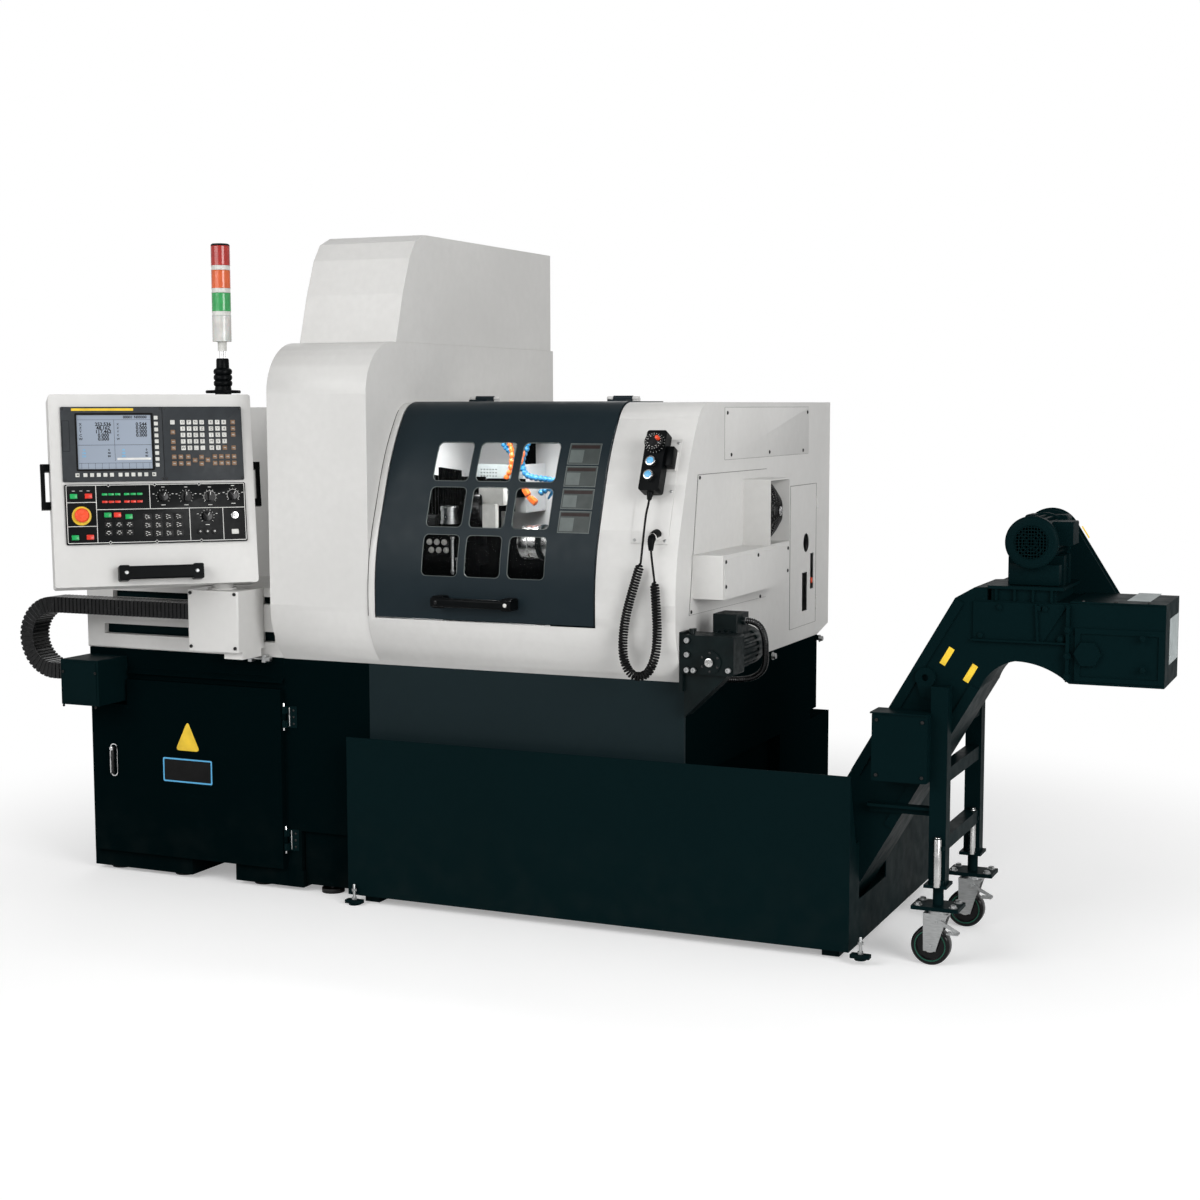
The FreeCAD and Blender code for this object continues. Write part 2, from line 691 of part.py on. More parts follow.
def panel_housing():
    wall = 6.0
    shell = rounded(panel_box(0, panel_width, 0, panel_height, 0, panel_depth), 8, Y)
    body = shell.cut(panel_box(wall, panel_width - wall, wall, panel_height - wall, wall, panel_depth - wall))
    stops = [panel_rod(a, b, 12, -1, wall + 1) for a, b in [e_stop] + start_keys]
    for hole in stops:
        body = body.cut(hole)
    body = on_panel(body)
    post_low = carriage_z1 - post_bore_depth + 1
    post = rod(post_x, post_y, post_low, Z, post_radius, panel_corner.z + 20 - post_low)
    collar = rod(post_x, post_y, carriage_z1 + running_gap, Z, post_radius + 10, 5)
    inner = on_panel(panel_box(wall, panel_width - wall, wall, panel_height - wall, wall, panel_depth - wall))
    return join(body, join(post, collar).cut(inner))


keep("panel_housing", panel_housing())


def key_field(columns, rows, a0, b0, step_a, step_b, size, front):
    return [panel_box(a0 + i * step_a, a0 + i * step_a + size, b0 + j * step_b, b0 + j * step_b + size,
                      front - key_height, front) for i in range(columns) for j in range(rows)]


def cnc_unit():
    front = -unit_thickness
    plate = rounded(panel_box(unit_a0, unit_a1, unit_b0, unit_b1, front, 0), 4, Y)
    plate = plate.cut(panel_box(screen[0], screen[1], screen[2], screen[3], front - 1, front + 3))
    plate = plate.cut(panel_box(unit_split - 1, unit_split + 1, unit_b0 - 1, unit_b1 + 1, front - 1, front + 2))
    plate = plate.cut(panel_box(34, 55, 387, 476, front - 1, front + 2))
    keys = key_field(1, 9, 296, 340, 1, 17.1, 9, front)
    keys += key_field(12, 1, 69, 313, 19.5, 1, 10, front)
    keys += key_field(9, 7, 348, 345, 19, 18, 13, front)
    return on_panel(join(plate, *keys))


keep("cnc_unit", cnc_unit())


def operator_panel():
    front = -desk_thickness
    plate = rounded(panel_box(desk_a0, desk_a1, desk_b0, desk_b1, front, 0), 4, Y)
    grooves = [panel_box(a - 0.8, a + 0.8, desk_b0 + 8, desk_b1 - 8, front - 1, front + 1) for a in (121, 271, 381)]
    grooves += [panel_box(desk_a0 + 6, 121, b - 0.8, b + 0.8, front - 1, front + 1) for b in (173, 239)]
    for groove in grooves:
        plate = plate.cut(groove)
    details = key_field(3, 1, 50, 253, 20, 1, 12, front)
    details += key_field(3, 1, 50, 134, 20, 1, 12, front)
    details += key_field(4, 2, 152, 141, 16, 19, 12, front)
    details += key_field(6, 3, 262, 147, 15.5, 18, 11, front)
    details += key_field(6, 2, 145, 236, 18, 20, 8, front)
    details += [panel_rod(a, b, 13, front - 13, front) for a, b in fixed_knobs]
    details += [panel_rod(a, b, 17, front - 2, front) for a, b in turn_knobs]
    details.append(panel_rod(e_stop[0], e_stop[1], e_stop_ring, front - 6, front))
    details += [panel_rod(512, 194, 10, front - 6, front), panel_rod(511, 147, 8, front - 5, front)]
    details.append(panel_rod(212, 196, 9, front - 4, front))
    details += [panel_rod(a, b, 11, front - 3, front) for a, b in start_keys]
    body = join(plate, *details)
    for a, b in [e_stop] + start_keys:
        body = body.cut(panel_rod(a, b, button_stem + button_hole_gap, front - 30, 1))
    return on_panel(body)


keep("operator_panel", operator_panel())

e_stop_travel, key_travel = 8.0, 3.0


def e_stop_button():
    front = -desk_thickness - 6
    cap = panel_rod(e_stop[0], e_stop[1], 20, front - e_stop_travel - 14, front - e_stop_travel - running_gap)
    cap = cap.makeChamfer(4, [edge for edge in cap.Edges if edge.BoundBox.YMax < front - e_stop_travel - 13])
    stem = panel_rod(e_stop[0], e_stop[1], button_stem, front - e_stop_travel - 1, 0)
    return on_panel(join(cap, stem))


keep("e_stop_button", e_stop_button())
for name, (a, b) in zip(("start_button", "hold_button"), start_keys):
    front = -desk_thickness - 3
    cap = panel_rod(a, b, 9, front - key_travel - 5, front - key_travel - running_gap)
    stem = panel_rod(a, b, button_stem, front - key_travel - 1, 0)
    keep(name, on_panel(join(cap, stem)))

for name, (a, b) in zip(("mode_knob", "feed_knob"), turn_knobs):
    front = -desk_thickness - 2 - running_gap
    skirt = panel_rod(a, b, 15, front - 4, front)
    grip = rounded(panel_box(a - 5, a + 5, b - 13, b + 13, front - 17, front - 4), 2, Y)
    keep(name, on_panel(join(skirt, grip)))


def bow_handle(a0, a1, b, reach, width, front):
    """Bow handle across the panel's front, on two feet."""
    feet = [rounded(panel_box(a, a + 30, b - width / 2, b + width / 2, front - reach, front), 5, Y)
            for a in (a0, a1 - 30)]
    grip = rounded(panel_box(a0 + 10, a1 - 10, b - width / 2 + 3, b + width / 2 - 3, front - reach, front - reach + 16), 5, X)
    return join(grip, *feet)


def side_handle(a0, a1, b0, b1):
    """Bow handle up one side of the panel, a0 at the wall and a1 away from it."""
    out = 1 if a1 > a0 else -1
    grip_a = sorted((a1, a1 - out * 12))
    feet_a = sorted((a0, a1))
    grip = rounded(panel_box(grip_a[0], grip_a[1], b0, b1, 40, 62), 4, Z)
    feet = [panel_box(feet_a[0], feet_a[1], b, b + 22, 40, 62) for b in (b0, b1 - 22)]
    return join(grip, *feet)


keep("panel_handles",
     on_panel(bow_handle(173, 411, 34, 42, 44, 0)),
     on_panel(side_handle(0, -26, 228, 359)),
     on_panel(side_handle(panel_width, panel_width + 26, 228, 359)))

lamp_radius = 25.5
lamp_sections = [76.0, 70.0, 67.0, 69.0]      # white base, green, orange, red
tower_foot_z = 1478.0


def tower_light():
    foot_place = on_panel(Part.Vertex(V(tower_a, tower_d, panel_height))).Point
    x, y, z = foot_place.x, foot_place.y, foot_place.z
    skin = on_panel(panel_box(0, panel_width, 0, panel_height, 0, panel_depth))
    boot = cone(x, y, z - 12, Z, 30, 14, 70).cut(skin)
    collar = rod(x, y, z + 57, Z, 17, 45)
    pole = rod(x, y, z + 102, Z, 11, 48)
    parts = [join(boot, collar, pole)]
    level = z + 150
    for height in lamp_sections:
        parts.append(rod(x, y, level, Z, lamp_radius, height))
        level += height
    cap = cone(x, y, level, Z, lamp_radius, lamp_radius - 4, 6)
    return parts + [cap]


keep("tower_light", *tower_light())

# ---------------------------------------------------------------- side housing and fan

flange_thickness = 3.0
hood_y0, hood_y1 = 449.0, 625.0
hood_z0, hood_z1 = base_top + 342, base_top + 531
hood_depth = 87.0
side_box_y0, side_box_y1 = 46.0, 616.0
side_box_z0, side_box_z1 = base_top + 222, base_top + 342
side_box_depth = 90.0
guard_x = cover_right + 48


def side_housing():
    x0 = cover_right + flange_thickness
    flange = side_prism([(92, base_top + 555), (665, base_top + 554), (663, base_top + 173),
                         (28, base_top + 180)], cover_right, x0)
    walls = box(x0, cover_right + hood_depth, hood_y0, hood_y1, hood_z0, hood_z1)
    walls = walls.cut(box(x0, cover_right + hood_depth + 1, hood_y0 + sheet, hood_y1 - sheet,
                          hood_z0 + sheet, hood_z1 - sheet))
    shroud = ring(x0 - 1, fan_y, fan_z, X, fan_radius + fan_shroud, fan_radius, guard_x - x0 + 1)
    lower = rounded(box(x0 - 1, cover_right + side_box_depth, side_box_y0, side_box_y1, side_box_z0, side_box_z1), 3, X)
    lid = box(cover_right + side_box_depth, cover_right + side_box_depth + 2, side_box_y0 + 12, side_box_y1 - 12,
              side_box_z0 + 10, side_box_z1 - 10)
    body = join(flange, walls, shroud, lower, lid)
    return body.cut(rod(cover_right - 1, fan_y, fan_z, X, fan_radius, flange_thickness + 2))


keep("side_housing", side_housing())


def fan_guard():
    parts = [ring(guard_x, fan_y, fan_z, X, radius + 2, radius - 2, 3) for radius in (80, 60, 40)]
    parts.append(rod(guard_x, fan_y, fan_z, X, 22, 3))
    for angle in (0, 60, 120):
        spoke = box(guard_x, guard_x + 3, fan_y - 84, fan_y + 84, fan_z - 1.5, fan_z + 1.5)
        spoke.rotate(V(guard_x, fan_y, fan_z), X, angle)
        parts.append(spoke)
    return join(*parts)


keep("fan_guard", fan_guard())
fan_blades = 7


def fan_rotor():
    depth = guard_x - running_gap - cover_right - 8
    x0 = cover_right + 8
    hub = rod(x0, fan_y, fan_z, X, 30, depth)
    chord = V(13, 0, 16)
    root, tip = V(x0 + 18, fan_y + 26, fan_z), V(x0 + 18, fan_y + fan_radius - 4, fan_z)
    blades = []
    for index in range(fan_blades):
        blade = prism([root.sub(chord), root.add(chord), tip.add(V(chord).multiply(1.2)),
                       tip.sub(V(chord).multiply(1.2))], V(2.5, 0, 0))
        blade.rotate(V(x0, fan_y, fan_z), X, 360 / fan_blades * index)
        blades.append(blade)
    return join(hub, *blades)


keep("fan_rotor", fan_rotor())

def access_door():
    x0 = cover_right
    plate = box(x0, x0 + hatch_thickness, hatch_y0, hatch_y1, hatch_z0, hatch_z1)
    plate = plate.cut(rod(x0 - 1, 1058, hatch_z0 + 262, X, 30, 10))
    for y0, y1, low, high in ((1019, 1072, 45, 168), (1103, 1137, 110, 225)):
        plate = plate.cut(box(x0 - 1, x0 + 9, y0, y1, hatch_z0 + low, hatch_z0 + high))
    leaves = []
    for low in hatch_hinges:
        z0, z1 = low + 10 + running_gap, low + hatch_hinge_length - 10 - running_gap
        leaf = join(rod(hatch_pivot_x, hatch_pivot_y, z0, Z, hatch_knuckle, z1 - z0),
                    box(x0, x0 + hatch_thickness, hatch_y1 - 1, hatch_pivot_y, z0, z1))
        leaves.append(leaf.cut(rod(hatch_pivot_x, hatch_pivot_y, low, Z, hatch_pin + running_gap, hatch_hinge_length)))
    return join(plate, *leaves)


keep("access_door", access_door())

# ---------------------------------------------------------------- gearbox and its motor

cap_x, cap_z = cover_right + 89, base_top + 66
motor_x, motor_z = cover_right + 96, base_top + 84
motor_radius, motor_length = 58.0, 175.0
terminal_height = 42.0


def gearbox():
    plate = box(cover_right, gear_x0, gear_front, 60, base_top - 17, base_top + 142)
    body = rounded(box(gear_x0 - 1, gear_x1, gear_front, gear_back, gear_z0, gear_z1), 6, Y)
    cap = rod(cap_x, gear_front - 5, cap_z, Y, 31, 6)
    boss = rod(cap_x, gear_front - 9, cap_z, Y, 11, 5)
    gusset = front_prism([(gear_x0 - 1, gear_z0), (gear_x1 - 20, gear_z0), (gear_x0 - 1, gear_z0 - 120)],
                         gear_front + 15, gear_back)
    plug = rod(gear_x0 + 18, gear_front + 25, gear_z1 - 1, Z, 8, 15)
    screws = [rod(x, gear_front - 5, z, Y, 7, 6) for x, z in
              ((gear_x0 + 15, gear_z0 + 12), (gear_x0 + 34, gear_z0 + 12), (gear_x1 - 12, gear_z0 + 16),
               (gear_x0 + 15, gear_z1 - 14), (gear_x0 + 15, gear_z1 - 52))]
    return join(plate, body, cap, boss, gusset, plug, *screws)


keep("gearbox", gearbox())


def finned(x, y, z, radius, length, fins, root):
    """Round motor housing along Y with cooling fins."""
    corners = []
    for index in range(fins):
        for turn, reach in ((0.1, radius), (0.4, radius), (0.55, root), (0.95, root)):
            angle = 2 * math.pi * (index + turn) / fins
            corners.append(V(x + reach * math.cos(angle), y, z + reach * math.sin(angle)))
    return prism(corners, V(0, length, 0))


gland_x = motor_x + 40
gland_y = gear_back + 62
gland_z = motor_z + motor_radius + 22


def gear_motor():
    barrel = finned(motor_x, gear_back, motor_z, motor_radius, motor_length - 45, 20, motor_radius - 6)
    bell = rod(motor_x, gear_back + motor_length - 45, motor_z, Y, motor_radius - 2, 45)
    top = motor_z + motor_radius + terminal_height
    terminal = rounded(box(motor_x - 38, gland_x - 8, gear_back + 15, gear_back + 110, motor_z + 40, top), 3, Z)
    gland = rod(gland_x - 9, gland_y, gland_z, X, 12, 9)
    return join(barrel, bell, terminal, gland)


keep("gear_motor", gear_motor())

# ---------------------------------------------------------------- hand wheel unit on the front

plate_x0, plate_x1 = cover_right - 137, cover_right - 30
plate_z0, plate_z1 = base_top + 376, base_top + 651
plate_thickness = 2.5
unit_x = cover_right - 82
unit_half = 29.0
unit_low, unit_length, unit_stand, unit_deep = base_top + 490, 172.0, 16.0, 38.0
skin_point, skin_out, skin_up = front_at(unit_low + unit_length / 2, 0)
unit_lean = math.degrees(math.atan2(skin_up.y, skin_up.z))
gland_out_x, gland_out_z = cover_right - 62, base_top + 396
cord_plane_y = -95.0


def on_front(shape):
    """Move a shape drawn on the leaning front (X across, -Y out, Z up) to the hand wheel unit's place."""
    moved = shape.copy()
    lean = FreeCAD.Rotation(X, -unit_lean)
    origin = V(unit_x, 0, 0).add(skin_point).add(V(skin_out).multiply(plate_thickness + unit_stand))
    moved.Placement = FreeCAD.Placement(origin, lean).multiply(moved.Placement)
    return moved


def mpg_plate():
    band = front_band(seam_gap + plate_thickness, seam_gap, plate_z0, plate_x0, plate_x1, 400)
    band = band.common(box(plate_x0 - 1, plate_x1 + 1, -300, 300, plate_z0 - 1, plate_z1))
    bracket = on_front(box(-22, 48, 0, unit_stand + plate_thickness + 14, -10, 44))
    arm = on_front(box(unit_half + 1, 50, -26, 4, -10, 44))
    gland_back = front_at(gland_out_z, 0)[0].y + 10
    gland = rod(gland_out_x, cord_plane_y + 12, gland_out_z, Y, 11, gland_back - cord_plane_y - 12)
    behind = front_solid(seam_gap + plate_thickness / 2, base_top, plate_x0 - 40, plate_x1 + 40, 400)
    return join(band, join(bracket, arm).cut(behind), gland.cut(behind))


keep("mpg_plate", mpg_plate())


def mpg_body():
    body = rounded(box(-unit_half, unit_half, -unit_deep, 0, -unit_length / 2, unit_length / 2), 8, Y)
    relief = cone(0, -unit_deep / 2, -unit_length / 2 - 18, Z, 6, 10, 19)
    base = rod(0, -unit_deep - 3, 48, Y, 29, 4)
    return on_front(join(body, relief, base))


keep("mpg_body", mpg_body())
dial_front = -unit_deep - 3 - running_gap
dial = rod(0, dial_front - 14, 48, Y, 25, 14)
dial_knob = rod(13, dial_front - 26, 55, Y, 5, 13)
keep("mpg_dial", on_front(join(dial, dial_knob)))
for name, place in (("mpg_knob_upper", -8), ("mpg_knob_lower", -47)):
    skirt = rod(0, -unit_deep - running_gap - 10, place, Y, 13, 10)
    pointer = box(-3, 3, -unit_deep - running_gap - 17, -unit_deep - running_gap - 9, place - 12, place + 12)
    keep(name, on_front(join(skirt, pointer)))

# ---------------------------------------------------------------- cords


def rounded_route(points, printed):
    """Straight runs joined by tangent arcs through a list of points."""
    edges = []
    here = points[0]
    for before, corner, after in zip(points, points[1:], points[2:]):
        run_in, run_out = corner.sub(before), after.sub(corner)
        reach = 0.45 * min(run_in.Length, run_out.Length)
        arc = corner_arc(corner, run_in.normalize(), run_out.normalize(), reach)
        printed.append(round(arc.Curve.Radius, 1))
        edges += [Part.makeLine(here, arc.firstVertex().Point), arc]
        here = arc.lastVertex().Point
    edges.append(Part.makeLine(here, points[-1]))
    return edges


def tube(edges, radius, start, direction):
    """One unbroken round tube along joined edges."""
    profile = Part.Wire([Part.makeCircle(radius, start, direction)])
    shell = Part.BRepOffsetAPI.MakePipeShell(Part.Wire(edges))
    shell.add(profile, False, False)
    shell.build()
    shell.makeSolid()
    return shell.shape()


conduit_radius = 9.0
conduit_route = [V(gland_x, gland_y, gland_z), V(gland_x + 26, gland_y, gland_z),
                 V(gland_x + 54, gland_y + 8, gland_z - 20), V(gland_x + 66, gland_y + 34, gland_z - 57),
                 V(gland_x + 58, gland_y + 70, gland_z - 103), V(gland_x + 28, gland_y + 104, gland_z - 143),
                 V(gland_x - 18, gland_y + 126, gland_z - 171),
                 V(inlet_x + 44, inlet_y, inlet_z), V(inlet_x, inlet_y, inlet_z)]


def conduit():
    radii = []
    edges = rounded_route(conduit_route, radii)
    print("conduit radii", radii, "length", round(sum(edge.Length for edge in edges), 1))
    first = conduit_route[1].sub(conduit_route[0])
    return tube(edges, conduit_radius, conduit_route[0], first)


keep("motor_conduit", conduit())

wire_radius = 2.5
coil_radius = 9.5
curls = 60
relief_tip = on_front(Part.Vertex(V(0, -unit_deep / 2, -unit_length / 2 - 18))).Point
# middle line of the curls, (X, Z) in the cord's plane, from under the hand wheel unit to the wall gland
coil_line = [(942, 1029), (917, 950), (897, 880), (889, 815), (893, 760), (919, 722), (961, 728),
             (984, 775), (990, 835), (987, 905), (981, 983)]


def biarc(start, along0, end, along1):
    """Two tangent arcs from one point and direction to another."""
    run = end.sub(start)
    total = along0.add(along1)
    spread = 2 * (1 - along0.dot(along1))
    ahead = run.dot(total)
    if spread < 1e-9:
        reach = run.dot(run) / (4 * run.dot(along1))
    else:
        reach = (-ahead + math.sqrt(ahead * ahead + spread * run.dot(run))) / spread
    first = start.add(V(along0).multiply(reach))
    second = end.sub(V(along1).multiply(reach))
    joint = first.add(second).multiply(0.5)
    return [arc_from(start, along0, joint), arc_from(joint, second.sub(first).normalize(), end)]


def arc_from(start, along, end):
    """The arc that leaves start along a direction and reaches end."""
    chord = end.sub(start)
    across = chord.sub(V(along).multiply(chord.dot(along)))
    if across.Length < 1e-7 * chord.Length:
        return Part.makeLine(start, end)
    across.normalize()
    radius = chord.dot(chord) / (2 * chord.dot(across))
    middle = start.add(V(across).multiply(radius))
    toward = start.add(end).multiply(0.5).sub(middle)
    if chord.dot(along) < 0:
        toward = toward.multiply(-1)
    return Part.Arc(start, middle.add(toward.normalize().multiply(radius)), end).toShape()


def cord_helix():
    """Points and directions of the curly cord, half a turn apart."""
    line = Part.BSplineCurve()
    line.interpolate([V(x, cord_plane_y, z) for x, z in coil_line])
    length = line.length()
    halves = 2 * curls

    def place(share):
        at = line.parameterAtDistance(length * share)
        along = line.tangent(at)[0]
        side = along.cross(Y)
        swell = min(1, share * curls / 2, (1 - share) * curls / 2)
        radius = coil_radius * swell * swell * (3 - 2 * swell)
        turn = 2 * math.pi * curls * share
        return line.value(at).add(side.multiply(radius * math.cos(turn))).add(V(Y).multiply(radius * math.sin(turn)))

    result = []
    small = 0.01 / halves
    for half in range(halves + 1):
        share = half / halves
        before, after = place(max(0, share - small)), place(min(1, share + small))
        result.append((place(share), after.sub(before).normalize()))
    return result


def mpg_cord():
    helix = cord_helix()
    start, along = helix[0]
    end, leave = helix[-1]
    wall = V(gland_out_x, cord_plane_y + 12, gland_out_z)
    edges = []
    # down from the hand wheel unit
    down = on_front(Part.Vertex(V(0, -unit_deep / 2, -unit_length / 2 - 38))).Point
    direction = down.sub(relief_tip).normalize()
    edges.append(Part.makeLine(relief_tip, down))
    edges += biarc(down, direction, start.sub(V(along).multiply(4)), along)
    edges.append(Part.makeLine(start.sub(V(along).multiply(4)), start))
    for index in range(len(helix) - 1):
        p0, t0 = helix[index]
        p1, t1 = helix[index + 1]
        edges += biarc(p0, t0, p1, t1)
    edges.append(Part.makeLine(end, end.add(V(leave).multiply(4))))
    before_wall = wall.add(V(0, -8, 0))
    edges += biarc(end.add(V(leave).multiply(4)), leave, before_wall, Y)
    edges.append(Part.makeLine(before_wall, wall))
    print("curly cord length", round(sum(edge.Length for edge in edges), 1))
    points = []
    for edge in edges:
        points += edge.discretize(9)[:-1]
    least = 1e9
    for i in range(0, len(points)):
        for j in range(i + 24, min(i + 60, len(points))):
            least = min(least, points[i].sub(points[j]).Length)
    print("curly cord least gap to itself", round(least - 2 * wire_radius, 2))
    tight = min(edge.Curve.Radius for edge in edges if hasattr(edge.Curve, "Radius"))
    print("curly cord smallest radius", round(tight, 2))
    return tube(edges, wire_radius, relief_tip, direction)


keep("mpg_cord", mpg_cord())

# ---------------------------------------------------------------- working area

liner_x0, liner_x1 = head_right + 11, head_right + 807
liner_back = 562.0
liner_top = roof - 13
liner_floor = base_top + 90
liner_front_gap = 4.0
nose_x1 = head_right + 95
spindle_back = head_right - 130
spindle_nose = nose_x1 + 22
sub_carriage_x0, sub_carriage_x1 = bed_x0 + 60, bed_x0 + 270
sub_nose = sub_carriage_x0 - 110
gang_x0, gang_x1 = nose_x1 + 45, nose_x1 + 165
gang_back = liner_back - running_gap


def interior_liner():
    inset = door_depth - door_proud + liner_front_gap
    block = cover_block(inset, base_top, liner_x0, liner_x1)
    block = block.common(box(liner_x0, liner_x1, -300, liner_back, base_top, liner_top))
    hollow = box(liner_x0 + sheet, liner_x1 - sheet, -300, liner_back - sheet, liner_floor + sheet, liner_top + 1)
    under = box(liner_x0 + sheet, liner_x1 - sheet, -300, liner_back - sheet, base_top - 1, liner_floor)
    body = block.cut(hollow).cut(under)
    reach = nose_half + wall_clearance
    body = body.cut(box(liner_x0 - 1, liner_x0 + 10, spindle_y - reach, spindle_y + reach,
                        spindle_z - reach, spindle_z + reach))
    gap = wall_clearance
    return body.cut(box(bed_x0 - gap, bed_x1 + gap, spindle_y - bed_half - gap, spindle_y + bed_half + gap,
                        liner_floor - 1, liner_floor + 10))


keep("interior_liner", interior_liner())


def guide_bush_block():
    stand = box(head_right - 140, head_right - sheet - wall_clearance, spindle_y - 110, spindle_y + 110,
                base_top, spindle_z + nose_half)
    stand = rounded(stand, 12, X)
    nose = rounded(box(head_right - 30, nose_x1, spindle_y - nose_half, spindle_y + nose_half,
                       spindle_z - nose_half, spindle_z + nose_half), 10, X)
    bore = rod(head_right - 200, spindle_y, spindle_z, X, spindle_radius + running_gap, 500)
    screws = [rod(nose_x1 - 1, spindle_y + y, spindle_z + z, X, 7, 5)
              for y in (-58, 58) for z in (-58, 58)]
    return join(stand, nose, *screws).cut(bore)


keep("guide_bush_block", guide_bush_block())


def main_spindle():
    shaft = rod(spindle_back, spindle_y, spindle_z, X, spindle_radius, nose_x1 - spindle_back)
    collar = rod(nose_x1, spindle_y, spindle_z, X, spindle_radius - 2, 12)
    collet = cone(nose_x1 + 12, spindle_y, spindle_z, X, 28, 20, 10)
    bore = rod(spindle_back - 1, spindle_y, spindle_z, X, bar_bore_radius, 400)
    return join(shaft, collar, collet).cut(bore)


keep("main_spindle", main_spindle())


def tool_gang():
    slide = box(gang_x0, gang_x1, liner_back - 130, gang_back, spindle_z + 75, spindle_z + 215)
    slide = slide.cut(box(gang_x0 - 1, gang_x1 + 1, liner_back - sheet - running_gap, gang_back + 1,
                          spindle_z, spindle_z + 400))
    arm = box(gang_x0, gang_x1, spindle_y - 60, liner_back - 130, spindle_z + 120, spindle_z + 175)
    tools = []
    for index in range(5):
        x = gang_x0 + 4 + index * 24
        tools.append(box(x, x + 15, spindle_y - 78, spindle_y - 58, spindle_z - 30, spindle_z + 190))
    holder = rounded(box(gang_x0, gang_x1, spindle_y - 128, spindle_y - 58, spindle_z - 62, spindle_z - 10), 6, X)
    screws = []
    for index in range(3):
        for z in (spindle_z - 50, spindle_z - 24):
            x = gang_x0 + 26 + index * 34
            screws.append(Part.Face(Part.makePolygon(
                [V(x + 8 * math.cos(a * math.pi / 3), spindle_y - 136, z + 8 * math.sin(a * math.pi / 3))
                 for a in range(7)])).extrude(V(0, 9, 0)))
    return join(slide, arm, holder, *tools, *screws)


keep("tool_gang", tool_gang())


def sub_spindle_slide():
    deck_z = bed_top + running_gap
    deck = box(sub_carriage_x0, sub_carriage_x1, spindle_y - bed_half, spindle_y + bed_half, deck_z, deck_z + 40)
    head = rounded(box(sub_carriage_x0, sub_carriage_x1, spindle_y - 72, spindle_y + 72, deck_z + 39,
                       spindle_z + 62), 14, X)
    return join(deck, head).cut(rod(sub_carriage_x0 - 1, spindle_y, spindle_z, X, spindle_radius + running_gap, 400))


keep("sub_spindle_slide", sub_spindle_slide())


def sub_spindle():
    shaft = rod(sub_nose + 30, spindle_y, spindle_z, X, spindle_radius, sub_carriage_x1 - sub_nose - 50)
    chuck = rod(sub_nose, spindle_y, spindle_z, X, spindle_radius + 6, sub_carriage_x0 - sub_nose - 12)
    step = cone(sub_nose - 14, spindle_y, spindle_z, X, 24, 32, 14)
    bore = rod(sub_nose - 15, spindle_y, spindle_z, X, bar_bore_radius, 400)
    return join(shaft, chuck, step).cut(bore)


keep("sub_spindle", sub_spindle())

hose_beads = 9
hose_bead_length = 17.0


def bead(start, run, radius0, radius1, length):
    """Eight-sided hose segment from one radius to another."""
    rings = []
    for place, radius in ((start, radius0), (start.add(V(run).multiply(length)), radius1)):
        circle = Part.Circle(place, run, radius)
        corners = [circle.value(math.pi / 4 * corner) for corner in range(8)]
        rings.append(Part.makePolygon(corners + [corners[0]]))
    return Part.makeLoft(rings, True, True)


def coolant_hoses():
    back = liner_back - sheet
    rail = box(sub_nose - 60, sub_nose + 220, back - 34, back, spindle_z + 210, spindle_z + 244)
    parts = [rail]
    for start_x, lean in ((sub_nose - 20, -0.35), (sub_nose + 70, -0.1), (sub_nose + 160, -0.5)):
        here = V(start_x, back - 26, spindle_z + 214)
        for index in range(hose_beads):
            droop = 0.25 + 0.9 * index / hose_beads
            run = V(lean, -1, -droop).normalize()
            parts.append(bead(here, run, 8.5, 6.5, hose_bead_length + 2))
            here = here.add(run.multiply(hose_bead_length))
        parts.append(bead(here, V(lean, -0.7, -1).normalize(), 6, 3, 26))
    return join(*parts)


keep("coolant_hoses", coolant_hoses())

# ---------------------------------------------------------------- coolant tank

chute_y0, chute_y1 = 51.0, 301.0
slope = math.tan(math.radians(60))
chute_foot_z = tank_bottom + tank_sheet
chute_knee = (1816.0, 721.0)     # where the slope's underside meets the arch
chute_crest = (1751.0, 955.0)    # where its upper edge meets the level part
neck_x0, neck_top = 1832.0, 952.0
arch_top = (1906.0, 799.0)
step_height = 33.0               # of the step before the motor's bed
box_x0, box_length = 2041.0, 231.0
box_x1 = box_x0 + box_length
box_bottom, box_top = 749.0, 953.0
side_ledge_z = 853.0             # ledge along the neck's side
lug_x, lug_z = 1678.0, 746.0
lug_radius, lug_bore = 26.0, 9.0
lug_plate = 8.0
tail_x0, tail_top = 1090.0, 175.0
belt_clearance = 8.0
rim_thickness = 5.0


def coolant_tank():
    top = tank_bottom + tank_height
    body = box(tank_left, tank_right, tank_front, tank_back, tank_bottom, top)
    body = body.cut(box(tank_left + tank_sheet, tank_right - tank_sheet, tank_front + tank_sheet,
                        tank_back - tank_sheet, tank_bottom + tank_sheet, top + 1))
    wall = box(tank_left, tank_right, tank_front, tank_front + tank_sheet, top, tank_wall_top)
    end = side_prism([(tank_front, top - 1), (tank_front + 60, top - 1), (tank_front, tank_wall_top)],
                     tank_right - tank_sheet, tank_right)
    feet = [box(x - 24, x + 24, y - 24, y + 24, 0, tank_bottom)
            for x in (tank_left + 60, tank_right - 60) for y in (tank_front + 60, tank_back - 60)]
    notch = box(tank_right - 20, tank_right + 20, chute_y0 - belt_clearance, chute_y1 + belt_clearance,
                tank_bottom + 120, top + 1)
    return join(body, wall, end, *feet).cut(notch)


keep("coolant_tank", coolant_tank())

# ---------------------------------------------------------------- chip conveyor


